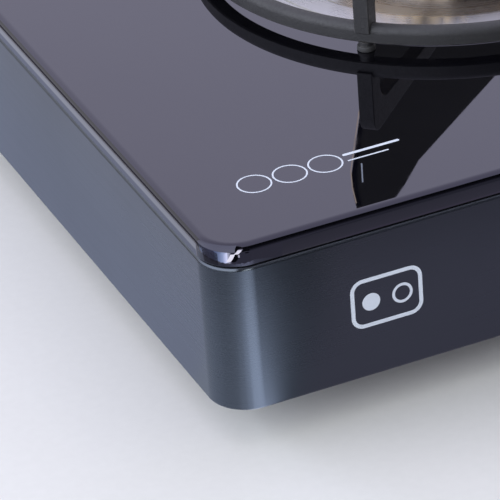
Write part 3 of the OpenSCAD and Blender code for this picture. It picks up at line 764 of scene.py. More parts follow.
def addCamera(shot):
    azimuth, elevation, roll = shot["azimuth"], shot["elevation"], shot["roll"]
    look = Vector((sin(azimuth) * cos(elevation), cos(azimuth) * cos(elevation), -sin(elevation)))
    right = Vector((cos(azimuth), -sin(azimuth), 0))
    down = look.cross(right)
    turnedRight = right * cos(roll) + down * sin(roll)
    turnedDown = down * cos(roll) - right * sin(roll)
    data = bpy.data.cameras.new("camera")
    data.lens = shot["lens"]
    data.sensor_width = shot["sensor"]
    data.clip_end = 60.0
    camera = bpy.data.objects.new("camera", data)
    scene.collection.objects.link(camera)
    turn = Matrix((turnedRight, -turnedDown, -look)).transposed().to_4x4()
    camera.matrix_world = Matrix.Translation(shot["aim"] - look * shot["distance"]) @ turn
    scene.camera = camera


def addBoard(name, corners, radiance=None, lights=True, mirrored=True, faces=None, only=None):
    # a board out of the camera's sight: a lit panel, a card that only reflections see, or a fill that none
    # sees; radiance is one colour, or a list with one for each corner; only is a collection of what sees it
    mesh = bpy.data.meshes.new(name)
    mesh.from_pydata(corners, [], faces or [range(len(corners))])
    board = bpy.data.objects.new(name, mesh)
    scene.collection.objects.link(board)
    material, tree, shader, place = startMaterial(name + " cloth", Roughness=1.0, Specular_IOR_Level=0.0)
    nap = noise(tree, place, 900.0)
    tree.links.new(mixColour(tree, nap, grey(0.004), grey(0.010)), shader.inputs["Base Color"])
    if radiance:
        glows = radiance if isinstance(radiance, list) else [radiance] * len(corners)
        brightest = max(max(glow) for glow in glows)
        layer = mesh.color_attributes.new("glow", "FLOAT_COLOR", "POINT")
        for point, glow in zip(layer.data, glows):
            point.color = [value / brightest for value in glow] + [1]
        glow = put(tree, "ShaderNodeAttribute", attribute_name="glow").outputs["Color"]
        tree.links.new(glow, shader.inputs["Emission Color"])
        shader.inputs["Emission Strength"].default_value = brightest
    mesh.materials.append(material)
    board.visible_camera = False
    board.visible_shadow = False
    board.visible_diffuse = bool(radiance) and lights
    board.visible_glossy = mirrored
    if only:
        board.light_linking.receiver_collection = only


def level(x0, x1, y0, y1, z):
    # the corners of a board that lies level; the next two stand and face along Y and along X
    return [(x0, y0, z), (x1, y0, z), (x1, y1, z), (x0, y1, z)]


def facingY(x0, x1, y, z0, z1):
    return [(x0, y, z0), (x1, y, z0), (x1, y, z1), (x0, y, z1)]


def facingX(x, y0, y1, z0, z1):
    return [(x, y0, z0), (x, y1, z0), (x, y1, z1), (x, y0, z1)]


def addStrips(name, lines, radiances, **values):
    # boards in strips from one line to the next, with a colour for each line
    count = len(lines[0])
    faces = [(r * count + k, r * count + k + 1, (r + 1) * count + k + 1, (r + 1) * count + k)
             for r in range(len(lines) - 1) for k in range(count - 1)]
    glows = [glow for glow in radiances for k in range(count)]
    addBoard(name, [point for line in lines for point in line], glows, lights=False, faces=faces, **values)


def addFan(name, tones, profile, only=None):
    # a card bent round the corner: colours by direction, in degrees from +Y to +X, along a profile whose
    # points have reach, height and, where the card leans, a further turn
    def line(way):
        turns = [radians(way + turn) for reach, z, turn in profile]
        return [(heel.x + r * sin(a), heel.y + r * cos(a), z) for (r, z, turn), a in zip(profile, turns)]
    addStrips(name, [line(way) for way in tones], list(tones.values()), only=only)


def seenDirect(tree):
    # 1 for camera, glossy and transmission rays, which see the pale background itself
    path = put(tree, "ShaderNodeLightPath").outputs
    seen = calc(tree, "MAXIMUM", path["Is Camera Ray"], path["Is Glossy Ray"])
    return calc(tree, "MAXIMUM", seen, path["Is Transmission Ray"])


def setWorld():
    world = bpy.data.worlds.new("studio")
    world.use_nodes = True
    tree = world.node_tree
    light = tree.nodes["Background"]
    light.inputs["Color"].default_value = (0.94, 0.96, 1.0, 1)
    light.inputs["Strength"].default_value = 0.75
    white = put(tree, "ShaderNodeBackground", {"Color": grey(1.0), "Strength": 1.0})
    both = put(tree, "ShaderNodeMixShader", {0: seenDirect(tree), 1: light.outputs[0], 2: white.outputs[0]})
    tree.links.new(both.outputs[0], tree.nodes["World Output"].inputs["Surface"])
    scene.world = world


def addFloor():
    # pale floor that keeps the shadow near the object and goes over to white far off
    reach, steps = 30, 96
    mesh = bpy.data.meshes.new("floor")
    turns = [2 * pi * k / steps for k in range(steps)]
    mesh.from_pydata([(reach * cos(a), reach * sin(a), 0) for a in turns], [], [range(steps)])
    floor = bpy.data.objects.new("floor", mesh)
    scene.collection.objects.link(floor)
    material, tree, shader, place = startMaterial("pale floor", Roughness=0.65, Specular_IOR_Level=0.2)
    flecked = mixColour(tree, noise(tree, place, 260.0), (0.68, 0.68, 0.66, 1), (0.72, 0.72, 0.70, 1))
    tree.links.new(flecked, shader.inputs["Base Color"])
    far = put(tree, "ShaderNodeVectorMath", {0: place}, operation="LENGTH").outputs["Value"]
    veil = calc(tree, "MULTIPLY", span(tree, far, 0.9, 3.2), seenDirect(tree))
    glow = put(tree, "ShaderNodeEmission", {"Color": grey(1.0), "Strength": 1.0})
    both = put(tree, "ShaderNodeMixShader", {0: veil, 1: shader.outputs[0], 2: glow.outputs[0]})
    tree.links.new(both.outputs[0], tree.nodes["Material Output"].inputs["Surface"])
    mesh.materials.append(material)


addCamera(shot)
setWorld()
addFloor()

# overhead: the panel, and under it a dark card whose edge and foot the glass mirrors behind its corner
panelGlow = (1.33, 1.31, 1.60)
cardHeight, rimWidth = 1.8, 1.4 * mm
addBoard("ceiling panel", level(-2.8, 2.8, -0.2, 4.8, 1.9), panelGlow)
cardEdge = [
    (1.12, 2.92), (1.06, 2.797), (1.027, 2.741), (0.978, 2.654), (0.956, 2.615), (0.94, 2.577),
    (0.928, 2.541)]
cardFoot = [(0.975, 2.539), (1.005, 2.568), (1.045, 2.612), (1.9, 3.3)]
cardTone, shadeTone = (0.05, 0.05, 0.055), (0.0, 0.0, 0.01)
addBoard("ceiling card", [(x, y, cardHeight) for x, y in cardEdge + cardFoot], cardTone, False)
shadeLines = [[(x + out, y, cardHeight - 5 * mm) for x, y in cardEdge] for out in (0, 5 * mm, 9 * mm)]
addStrips("card shade", shadeLines, [shadeTone, shadeTone, cardTone])
rimLine = cardEdge + [(x - rimWidth, y) for x, y in cardEdge[::-1]]
addBoard("card rim", [(x, y, cardHeight - 10 * mm) for x, y in rimLine], (2.2, 1.8, 1.5), False)
streakLine = [(0.9703, 2.6176), (0.9719, 2.6167), (0.9529, 2.5743), (0.9516, 2.5751)]
addBoard("card streak", [(x, y, cardHeight - 15 * mm) for x, y in streakLine], (2.0, 2.3, 2.8), False)
addBoard("front ceiling card", level(-0.4, 1.8, -1.33, -0.2, 1.89), panelGlow, False)

# front and left of the object, out to the room's walls
curtain = [[(-3.0, -2.9, z), (3.2, -2.9, z)] for z in (0.0, 1.0, 2.7)]
addStrips("front curtain", curtain, [(0.36, 0.36, 0.46), (0.04, 0.04, 0.06), (0.0, 0.0, 0.0)])
addBoard("front roof", [(-0.3, -0.2, 2.7), (-2.3, -2.9, 2.7), (3.2, -2.9, 2.7), (3.2, -0.2, 2.7)])
addBoard("left curtain", facingX(-3.0, -2.9, 0.4, 0.0, 2.7), (0.36, 0.38, 0.42))
addBoard("left fill", facingX(-2.6, -2.6, 2.2, 0.0, 2.4), (3.2, 3.3, 3.5), mirrored=False)
glassOnly, steelOnly = [bpy.data.collections.new("lit for the " + name) for name in ("glass", "steel")]
addBoard("front strip", facingY(-0.75, 0.05, -2.5, 0.0, 0.8), (5.0, 5.2, 5.4), only=steelOnly)
addBoard("front patch", facingY(-1.14, -0.62, -2.6, 0.25, 2.0), (2.2, 2.2, 2.5), False, only=glassOnly)

# round the upright corner: its steel mirrors the inner ring, and the glass the outer one
heel = corner + Vector((15, 15, 0)) * mm
table, raised = 3 * mm, 4 * mm
ringReach = (1 * mm, 134 * mm, 900 * mm)
steelTones = {
    -36: 0.72, -60: 0.80, -80: 0.76, -100: 0.63, -120: 0.60, -140: 0.90, -154: 1.45, -167: 2.4, -182: 2.65,
    -193: 1.8, -200: 0.85, -205: 0.32, -212: 0.18}
steelGlows = {way: (0.91 * v, v, 1.24 * v) for way, v in steelTones.items()}
addFan("steel ring", steelGlows, [(reach, table, 0) for reach in ringReach[:2]])
black, white = (0.01, 0.01, 0.012), (17, 17, 16)
glassGlows = {
    -47: (1.0, 1.15, 1.6), -62: (1.35, 1.6, 2.3), -74: (0.95, 1.05, 1.6), -86: (1.35, 1.55, 2.4),
    -94: (1.1, 1.3, 2.1), -102: (1.8, 2.4, 3.6), -110: (2.8, 3.7, 5.2), -120: (5.5, 6.8, 9.0),
    -131: (14, 15, 17), -134: (8, 8.5, 9), -142: (0.6, 0.6, 0.8), -160: (0.5, 0.5, 0.65),
    -204: (0.48, 0.48, 0.60)}
addFan("glass ring", glassGlows, [(reach, table, 0) for reach in ringReach[1:]], glassOnly)
addFan("notch card", {-37: black, -47: black}, [(0.134, raised, 0), (0.160, raised, 0)], glassOnly)
leaning = [(0.134, raised, 0), (0.151, raised, -20), (2.0, raised, -26), (2.0, 1.0, -30)]
addFan("glint card", {-129: white, -140: white}, leaning, glassOnly)
addFan("glint shade", {-141: black, -153: black}, leaning[:2], glassOnly)
addFan("patch shade", {-177: black, -186: black}, [(0.142, raised, 0), (0.3, raised, 0)], glassOnly)
sparkGlow = (9, 9, 9.5)
addFan("spark", {-159: sparkGlow, -163: sparkGlow}, [(0.138, raised, 0), (0.141, raised, 0)], glassOnly)
skyGlows = {-42: (1.5, 1.5, 1.8), -60: (2.1, 2.2, 2.6), -100: (2.3, 2.4, 2.8), -152: (2.6, 2.7, 3.0)}
addFan("left sky", skyGlows, [(0.02, 1.2, 0), (2.2, 1.2, 0), (2.2, 0.0, 0)])

# on the table along the front and left walls, in strips by their distance out
edgeHeight = 2.5 * mm
frontGlows = {
    -0.284: (0.56, 0.55, 0.66), -0.302: (0.37, 0.38, 0.46), -0.36: (0.30, 0.31, 0.38),
    -2.88: (0.28, 0.29, 0.36)}
frontEdge = [[(-0.25, y, edgeHeight), (3.0, y, edgeHeight)] for y in frontGlows]
addStrips("front edge card", frontEdge, list(frontGlows.values()), only=glassOnly)
leftGlows = {
    -0.321: (0.62, 0.68, 0.92), -0.364: (0.62, 0.68, 0.92), -0.3645: (1.15, 1.22, 1.45),
    -0.3672: (1.0, 1.03, 1.25), -0.3704: (0.62, 0.62, 0.74), -0.385: (0.62, 0.62, 0.74)}
leftEdge = [[(x, -0.15, edgeHeight), (x, 1.6, edgeHeight)] for x in leftGlows]
addStrips("left edge card", leftEdge, list(leftGlows.values()))
frontTones = {heel.y: 0.285, -0.23: 0.35, -0.284: 0.61}
frontSlant = 0.625
frontLines = [[(heel.x + (heel.y - y) * frontSlant, y, table), (3.0, y, table)] for y in frontTones]
addStrips("front table card", frontLines, [(1.1 * v, v, 1.3 * v) for v in frontTones.values()])
addBoard("left table card", level(-0.80, -0.42, -0.2, 1.4, table), (0.22, 0.21, 0.26), False)
scene.view_settings.view_transform = "Standard"
print("camera, light and floor")

# ---- Casing ----

casing = {
    "corner": 15 * mm, "fold": 1.4 * mm, "sheet": 1.2 * mm, "flange": 26 * mm, "steps": 28,
    "knobHole": 8 * mm, "inletHole": 8.4 * mm, "cut": 10 * mm,
    "ventLength": 26 * mm, "ventWidth": 4 * mm, "ventPitch": 12 * mm, "ventCount": 9,
}


def makeCasing(casing):
    low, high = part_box("casing")
    t, fold, flange = casing["sheet"], casing["fold"], casing["flange"]
    section = filleted([
        (flange, low.z), (0, low.z, fold), (0, high.z, fold), (flange, high.z),
        (flange, high.z - t), (t, high.z - t, fold - t), (t, low.z + t, fold - t), (flange, low.z + t)],
        steps=6)
    size = high - low
    wall = sweepRound("casing wall", section, size.x, size.y, casing["corner"], True, casing["steps"])
    knobs = [middle(side + "_bezel") for side in sides]
    inlet = middle("inlet_locknut")
    holes = [(Vector((k.x, low.y, k.z)), casing["knobHole"]) for k in knobs]
    holes.append((Vector((inlet.x, high.y, inlet.z)), casing["inletHole"]))
    bm = bmesh.new()
    for place, radius in holes:
        turn = Matrix.Translation(place) @ Matrix.Rotation(pi / 2, 4, "X")
        bmesh.ops.create_cone(
            bm, cap_ends=True, segments=64, radius1=radius, radius2=radius, depth=casing["cut"], matrix=turn)
    holed = cutBy(wall, finishMesh(bm, "hole cutter"))
    vented = grown(
        slotRows, holed, Middle=(0.0, high.y, (low.z + high.z) / 2), Spread=knobs[1].x - knobs[0].x,
        Count=casing["ventCount"], Pitch=casing["ventPitch"], Length=casing["ventLength"],
        Width=casing["ventWidth"], Depth=casing["cut"])
    return worked(smoothed(vented, 28), keepFlat)


steelOnly.objects.link(addPiece("casing_shell", makeCasing(casing), "housing", "black_steel", "casing"))
print("casing")

# ---- Glass top ----

glass = {
    "corner": 15 * mm, "edge": 3 * mm, "arris": 0.35 * mm, "aperture": 74 * mm, "lip": 0.8 * mm, "steps": 40,
}


def makeGlass(glass):
    low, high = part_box("glass_top")
    section = filleted([
        (glass["arris"] * 3, low.z), (0, low.z, glass["arris"]), (0, high.z, glass["edge"]),
        (glass["edge"] + 0.4 * mm, high.z)], steps=12)
    size = high - low
    pane = sweepRound("pane", section, size.x, size.y, glass["corner"], False, glass["steps"])
    radius, lip = glass["aperture"], glass["lip"]
    outline = [(0, low.z - lip), (radius, low.z - lip), (radius, high.z - lip)]
    outline += arcPoints((radius + lip, high.z - lip), lip, 180, 96, 6)
    outline += [(radius + 2 * lip, high.z + lip), (0, high.z + lip)]
    for side in sides:
        centre = middle(side + "_burner_head")
        pane = cutBy(pane, lathe("aperture", outline, (centre.x, centre.y, 0), steps=160))
    return worked(smoothed(pane, 35), keepFlat)


glassOnly.objects.link(addPiece("glass_pane", makeGlass(glass), "housing", "black_glass", "glass_top"))
print("glass top")

# ---- Feet and screws ----

foot = {
    "bore": 2.3 * mm, "recess": 6 * mm, "recessTop": 5 * mm, "tread": 13.4 * mm, "groove": 0.6 * mm,
    "grooves": (8 * mm, 10.4 * mm), "grooveWidth": 1.4 * mm, "soft": 0.2 * mm,
}


def makeFoot(node, foot):
    low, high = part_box(node)
    top, soft, slant = low.z + foot["groove"], foot["soft"], 0.3 * mm
    ribs = []
    for near in foot["grooves"]:
        far = near + foot["grooveWidth"]
        ribs += [(near, low.z, soft), (near + slant, top, soft), (far - slant, top, soft), (far, low.z, soft)]
    section = filleted(
        [(foot["bore"], low.z + foot["recessTop"]), (foot["recess"], low.z + foot["recessTop"], 0.5 * mm),
         (foot["recess"], low.z, 0.5 * mm)] + ribs +
        [(foot["tread"], low.z, 1.3 * mm), ((high.x - low.x) / 2, high.z, 0.5 * mm), (foot["bore"], high.z)],
        closed=True)
    centre = middle(node)
    return lathe(node, section, (centre.x, centre.y, 0), closed=True, steps=72)


for node in ("foot_front_left", "foot_front_right", "foot_rear_left", "foot_rear_right"):
    addPiece(node + "_rubber", makeFoot(node, foot), "housing", "rubber", node)

screw = {
    "head": 3.6 * mm, "footHead": 4.6 * mm, "headHeight": 2.2 * mm, "shank": 1.9 * mm, "tip": 0.5 * mm,
    "recess": 0.9 * mm, "depth": 1.3 * mm, "nut": 4 * mm, "nutStart": 9 * mm, "nutEnd": 12 * mm,
    "nutChamfer": 0.4 * mm,
}
screwRows = {
    "foot_screws": 0, "base_screws": 0, "bracket_screws": 0, "clamp_screws": 0, "burner_screws": pi,
    "valve_screws": -pi / 2,
}


def makeScrew(screw, headRadius, length, nut):
    # domed head below the seat at the origin, shank upwards, a cross recess, and a nut where it has one
    height, shank, tip = screw["headHeight"], screw["shank"], screw["tip"]
    outline = filleted([
        (0, -height), (headRadius * 0.6, -height * 0.97, headRadius * 0.4),
        (headRadius, -height * 0.35, 0.5 * mm), (headRadius, 0, 0.1 * mm), (shank, 0), (shank, length - tip),
        (shank - tip, length), (0, length)], steps=3)
    head = lathe("screw", outline, (0, 0, 0), steps=24)
    bm = bmesh.new()
    for turn in (0, pi / 2):
        lay = Matrix.Rotation(turn, 4, "Z") @ Matrix.Translation((0, 0, -height))
        size = Matrix.Diagonal((headRadius * 1.05, screw["recess"], 2 * screw["depth"], 1))
        bmesh.ops.create_cube(bm, size=1, matrix=lay @ size)
    made = cutBy(head, finishMesh(bm, "recess"), use_self=True)
    if nut:
        bm = bmesh.new()
        bm.from_mesh(made)
        addHexRings(bm, screw["nut"], screw["nutStart"], screw["nutEnd"], screw["nutChamfer"], shank)
        made = finishMesh(bm, "screw and nut")
    return made


def addHexRings(bm, radius, start, end, chamfer, bore, steps=48):
    # a hexagon's flats with turned chamfers: the smaller of the hexagon's and the chamfer's radius
    flat = radius * cos(pi / 6)
    narrow = radius - 1.6 * chamfer
    turns = [2 * pi * k / steps for k in range(steps)]
    rings = []
    for height, limit in ((start, narrow), (start + chamfer, radius), (end - chamfer, radius), (end, narrow)):
        reaches = [min(flat / cos(turn % (pi / 3) - pi / 6), limit) for turn in turns]
        rings.append([bm.verts.new((r * cos(a), r * sin(a), height)) for r, a in zip(reaches, turns)])
    for height in (end, start):
        rings.append([bm.verts.new((bore * cos(a), bore * sin(a), height)) for a in turns])
    joinRings(bm, rings, True)


for node, turn in screwRows.items():
    # the screws of a row lie alike: upright with the head down or up, or along Y
    boxes = islandBoxes(node)
    across = 1 if turn == -pi / 2 else 2
    length = (boxes[0][1] - boxes[0][0])[across] - screw["headHeight"]
    seats = []
    for low, high in boxes:
        seat = (low + high) / 2
        seat[across] = high[across] - screw["headHeight"] if turn == pi else low[across] + screw["headHeight"]
        seats.append(seat)
    headRadius = screw["footHead"] if node == "foot_screws" else screw["head"]
    model = bpy.data.objects.new("model", makeScrew(screw, headRadius, length, node == "foot_screws"))
    scene.collection.objects.link(model)
    points = bpy.data.meshes.new(node)
    points.from_pydata(seats, [], [])
    lay = (turn, 0, 0)
    made = grown(scatter, points, Piece=model, Lay=lay, Seed=len(seats), Finish=finishes["zinc_screw"])
    bpy.data.objects.remove(model)
    addPiece(node + "_set", made, "housing", "zinc_screw", node)
print("feet and screws")

# ---- Gas line ----

inlet = {
    "core": 7.45 * mm, "pitch": 1.337 * mm, "bore": 4 * mm, "chamfer": 0.8 * mm, "barrel": 9.5 * mm,
    "barrelEnd": 14 * mm, "coreStart": 12 * mm, "threadStart": 2 * mm,
}
locknut = {"corner": 12 * mm, "chamfer": 0.9 * mm, "bore": 8.1 * mm, "steps": 96}
toFront = Matrix.Rotation(pi / 2, 4, "X")
toRear = Matrix.Rotation(-pi / 2, 4, "X")


def makeInlet(inlet):
    # brass inlet: a barrel on the rail, and a threaded nipple that passes out through the wall
    low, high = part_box("gas_inlet")
    centre = middle("inlet_locknut")
    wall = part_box("inlet_locknut")[0].y
    start = wall - inlet["threadStart"]
    core, bore, chamfer, soft = inlet["core"], inlet["bore"], inlet["chamfer"], 0.5 * mm
    outline = [
        (bore, low.y), (inlet["barrel"], low.y), (inlet["barrel"], wall - inlet["barrelEnd"]),
        (core, wall - inlet["coreStart"]), (core, high.y - chamfer), (core - chamfer, high.y),
        (bore + soft, high.y), (bore, high.y - soft)]
    body = lathe("inlet", outline, (centre.x, 0, centre.z), closed=True, steps=64, axis=toRear)
    length = high.y - chamfer * 1.4 - start
    return grown(
        helix, body, Radius=core - 0.1 * mm, Turns=length / inlet["pitch"], Length=length,
        Section=inlet["pitch"] * 0.66, Sides=4, Lay=(-pi / 2, 0, 0), Start=(centre.x, start, centre.z),
        Finish=finishes["brass"])


def makeLocknut(locknut):
    low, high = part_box("inlet_locknut")
    centre = middle("inlet_locknut")
    bm = bmesh.new()
    addHexRings(bm, locknut["corner"], low.y, high.y, locknut["chamfer"], locknut["bore"], locknut["steps"])
    bm.transform(Matrix.Translation((centre.x, 0, centre.z)) @ toRear)
    return finishMesh(bm, "locknut", 20)


addPiece("inlet_nipple", makeInlet(inlet), "housing", "brass", "gas_inlet")
addPiece("inlet_nut", makeLocknut(locknut), "housing", "brass", "inlet_locknut")
print("gas inlet")

# ---- Knobs and bezels ----

knob = {
    "voxel": 0.42 * mm, "passes": 5, "lineWidth": 1.3 * mm, "lineStart": 7.5 * mm, "lineEnd": 16.8 * mm,
    "lineSunk": 0.2 * mm, "lineProud": 0.06 * mm,
}
bezel = {"bore": 9 * mm, "lip": 1.5 * mm, "dish": 0.7 * mm}


def makeBezel(side, bezel):
    low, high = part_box(side + "_bezel")
    centre = middle(side + "_bezel")
    radius = (high.x - low.x) / 2
    outline = filleted([
        (bezel["bore"], 0), (radius, 0), (radius, bezel["lip"], 0.9 * mm),
        (radius - 2.2 * mm, bezel["lip"], 0.3 * mm),
        (radius - 2.6 * mm, bezel["dish"], 0.3 * mm), (bezel["bore"], bezel["dish"])], closed=True, steps=6)
    return lathe("bezel", outline, (centre.x, high.y, centre.z), closed=True, steps=160, axis=toFront)


def slabOf(name, outline, depth, place):
    # an outline of (x, y) given a depth along z, then put in place
    bm = bmesh.new()
    filled(bm, outline, depth)
    bm.transform(place)
    return finishMesh(bm, name)


def barOutline(x0, x1, y, width):
    # a bar with round ends along x
    radius = width / 2
    return arcPoints((x1 - radius, y), radius, -90, 90, 8) + arcPoints((x0 + radius, y), radius, 90, 270, 8)


for side in sides:
    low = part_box(side + "_knob")[0]
    centre = middle(side + "_knob")
    addPiece(side + "_knob_moulding", softened(side + "_knob", knob["voxel"], knob["passes"]),
             side + "_control", "knob_plastic", side + "_knob")
    outline = barOutline(knob["lineStart"], knob["lineEnd"], 0, knob["lineWidth"])
    spot = Matrix.Translation((centre.x, low.y + knob["lineSunk"], centre.z))
    upward = toFront @ Matrix.Rotation(pi / 2, 4, "Z")
    line = slabOf("pointer", outline, knob["lineSunk"] + knob["lineProud"], spot @ upward)
    addPiece(side + "_knob_line", line, side + "_control", "enamel", material=panelPrint)
    addPiece(side + "_bezel_ring", makeBezel(side, bezel), "housing", "chrome", side + "_bezel")
print("knobs")

# ---- Burners ----

tray = {
    "sheet": 0.8 * mm, "rim": 88 * mm, "bead": 1.05 * mm, "step": 80 * mm, "collarGap": 5.1 * mm,
    "bowl": 64.8 * mm, "shoulder": 69.42 * mm, "sunk": 5.1 * mm, "seat": 0.4 * mm, "raised": 0.75 * mm,
}
crown = {
    "wall": 9 * mm, "slot": 1.8 * mm, "pitch": 6.4 * mm, "slotFloor": 6.5 * mm, "soft": 0.3 * mm,
    "spigotDrop": 8 * mm, "spigotInset": 11.4 * mm, "spigotWall": 3 * mm, "capInset": 0.6 * mm,
}


def makeTray(side, tray):
    # pressed sheet: a collar round the seat, a bowl, a flat rim on the glass and a rolled bead
    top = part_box("glass_top")[1].z
    centre = middle(side + "_burner_head")
    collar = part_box(side + "_burner_head")[1].x - centre.x - tray["collarGap"]
    rim, bead = tray["rim"], tray["bead"]
    floor, seat, raised = top - tray["sunk"], top + tray["seat"], top + tray["raised"]
    line = filleted([
        (collar, top + 1 * mm), (collar, floor, 3 * mm), (tray["bowl"], floor, 6 * mm),
        (tray["shoulder"], seat, 3 * mm), (tray["step"], seat, 1.5 * mm),
        (tray["step"] + 1.2 * mm, raised, 1.5 * mm), (rim - 1.4 * mm, raised, 0.8 * mm),
        (rim - 0.9 * mm, top + bead * 1.4)], steps=7)
    line += arcPoints((rim, top + bead), bead * 0.86, 150, -170, 12)
    return lathe(
        "tray", thickened(line, tray["sheet"] * 0.8), (centre.x, centre.y, 0), closed=True, steps=192)


def makeCrown(side, crown):
    # turned crown whose teeth, one between each two flame slots, are set round by the tooth ring
    low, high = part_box(side + "_burner_head")
    centre = middle(side + "_burner_head")
    radius = (high.x - low.x) / 2
    seat = low.z + crown["spigotDrop"]
    floor = seat + crown["slotFloor"]
    spigot = radius - crown["spigotInset"]
    bore = spigot - crown["spigotWall"]
    inner, outer = radius - crown["wall"], radius - 0.15 * mm
    outline = filleted([
        (bore, low.z), (spigot, low.z, 0.8 * mm), (spigot, seat, 0.3 * mm), (radius - 3 * mm, seat, 0.5 * mm),
        (radius, seat + 3 * mm, 1 * mm), (outer, floor, 0.25 * mm), (inner, floor, 0.25 * mm),
        (inner, seat + 5 * mm, 1 * mm), (bore, seat + 2.5 * mm)], closed=True, steps=4)
    body = lathe("crown", outline, (centre.x, centre.y, 0), closed=True, steps=172)
    count = round(2 * pi * radius / crown["pitch"])
    half = pi / count - crown["slot"] / 2 / radius
    halfIn = pi / count - crown["slot"] / 2 / inner
    bm = bmesh.new()
    rings = []
    for height, out in ((floor - 0.4 * mm, outer), (high.z, radius - 0.8 * mm)):
        corners = [(inner, -halfIn), (out, -half), (out, 0), (out, half), (inner, halfIn), (inner, 0)]
        rings.append([bm.verts.new((r * cos(a), r * sin(a), height)) for r, a in corners])
    capRings(bm, rings)
    tooth = softEdged(finishMesh(bm, "tooth"), crown["soft"], 2)
    return smoothed(ringed(tooth, body, centre, count, finishes[side + "_crown"]), 35)


def makeCap(side, crown):
    # low dome with a rolled edge, a shallow ring near the rim and a skirt that centres it
    low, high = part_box(side + "_burner_cap")
    centre = middle(side + "_burner_cap")
    radius = (high.x - low.x) / 2
    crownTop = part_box(side + "_burner_head")[1].z
    skirt = radius - 2 * crown["capInset"] - crown["wall"]
    outline = filleted([
        (0, crownTop), (skirt - 2 * mm, crownTop, 0.3 * mm), (skirt - 2 * mm, low.z, 0.3 * mm),
        (skirt, low.z, 0.5 * mm), (skirt, crownTop, 0.3 * mm),
        (radius - 1.0 * mm, crownTop, 0.3 * mm), (radius, crownTop + 0.8 * mm, 0.7 * mm),
        (radius - 0.8 * mm, crownTop + 2.6 * mm, 1.4 * mm), (radius - 5 * mm, crownTop + 3.15 * mm, 1.5 * mm),
        (radius - 6 * mm, crownTop + 2.85 * mm, 0.8 * mm),
        (radius - 7.4 * mm, crownTop + 2.95 * mm, 1.5 * mm),
        (radius - 9 * mm, crownTop + 3.35 * mm, 3 * mm), (radius * 0.4, high.z - 0.1 * mm, 20 * mm),
        (0, high.z)], steps=5)
    return lathe("cap", outline, (centre.x, centre.y, 0), steps=144)


for side in sides:
    addPiece(
        side + "_tray_pressing", makeTray(side, tray), side + "_tray", "stainless", side + "_drip_tray",
        material=finishes[side + "_tray"])
    addPiece(
        side + "_crown_ring", makeCrown(side, crown), side + "_head", "brass_crown", side + "_burner_head",
        material=finishes[side + "_crown"])
    addPiece(side + "_cap_dome", makeCap(side, crown), side + "_cap", "enamel", side + "_burner_cap")
print("burners")

# ---- Pan supports ----

support = {
    "bar": 6 * mm, "ringDepth": 7 * mm, "stud": 2.8 * mm, "pad": 3.5 * mm, "arms": 4, "armThick": 6 * mm,
    "soft": 0.9 * mm, "tip": 26 * mm, "tipDepth": 6 * mm, "tipRound": 2.6 * mm, "armDepth": 10 * mm,
    "legWidth": 8 * mm,
}
diagonal = Matrix.Rotation(pi / 4, 4, "Z")


def makeSupportRing(side, support):
    low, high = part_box(side + "_pan_support")
    centre = middle(side + "_pan_support")
    radius = (high.x - low.x) / 2
    bar = support["bar"]
    under = high.z - support["ringDepth"]
    soft = 0.5 * mm
    outline = [(radius - bar + soft, under), (radius - soft, under), (radius, under + soft)]
    outline += arcPoints((radius - bar / 2, high.z - bar / 2), bar / 2, 0, 180, 14)
    outline.append((radius - bar, under + soft))
    ring = lathe("ring", outline, (centre.x, centre.y, 0), closed=True, steps=192)
    wide = support["stud"]
    outline = [(0, low.z), (wide, low.z), (wide, under), (wide + soft, under + 0.4 * mm)]
    spot = diagonal @ Matrix.Translation((radius - bar / 2, 0, 0))
    stud = lathe("stud", outline, (0, 0, 0), steps=32, axis=spot)
    return ringed(stud, ring, centre, support["arms"], finishes["support_steel"])


def makeArms(side, support):
    # flat-bar arms, each with a rounded elbow, a gusset curve and a notch that sits astride the ring
    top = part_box(side + "_support_arms")[1].z
    ringLow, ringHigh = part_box(side + "_pan_support")
    centre = middle(side + "_pan_support")
    bar, tip, tipRound = support["bar"], support["tip"], support["tipRound"]
    ringMiddle = (ringHigh.x - ringLow.x) / 2 - bar / 2
    foot = ringHigh.z - bar / 2
    inner, outer = ringMiddle - support["legWidth"] / 2, ringMiddle + support["legWidth"] / 2
    under, tipUnder = top - support["armDepth"], top - support["tipDepth"]
    outline = filleted([
        (inner, foot), (inner, under, 8 * mm), (inner - 8.2 * mm, under, 4 * mm), (tip + tipRound, tipUnder),
        (tip, tipUnder, tipRound), (tip, top, tipRound), (outer, top, 6 * mm), (outer, foot)],
        closed=True, steps=7)
    outline += arcPoints((ringMiddle, foot), bar / 2, 0, 180, 12)
    thick = support["armThick"]
    place = diagonal @ Matrix.Translation((0, thick / 2, 0)) @ toFront
    arm = smoothed(softEdged(slabOf("arm", outline, thick, place), support["soft"], 3), 40)
    return ringed(worked(arm, keepFlat), None, centre, support["arms"], finishes["support_steel"])


def makePads(side, support):
    low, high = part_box(side + "_support_pads")
    ringLow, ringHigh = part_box(side + "_pan_support")
    reach = (ringHigh.x - ringLow.x) / 2 - support["bar"] / 2
    wide = support["pad"]
    outline = filleted([
        (0, low.z), (wide, low.z, 0.4 * mm), (wide - 0.2 * mm, high.z, 0.5 * mm), (0, high.z)], steps=4)
    spot = diagonal @ Matrix.Translation((reach, 0, 0))
    pad = lathe("pad", outline, (0, 0, 0), steps=40, axis=spot)
    return ringed(pad, None, middle(side + "_pan_support"), support["arms"], finishes["silicone"])


for side in sides:
    body = side + "_support"
    addPiece(
        side + "_support_ring", makeSupportRing(side, support), body, "support_steel",
        side + "_pan_support")
    addPiece(side + "_arm_set", makeArms(side, support), body, "support_steel", side + "_support_arms")
    addPiece(side + "_pad_set", makePads(side, support), body, "silicone", side + "_support_pads")
print("pan supports")

# ---- Printed marks ----

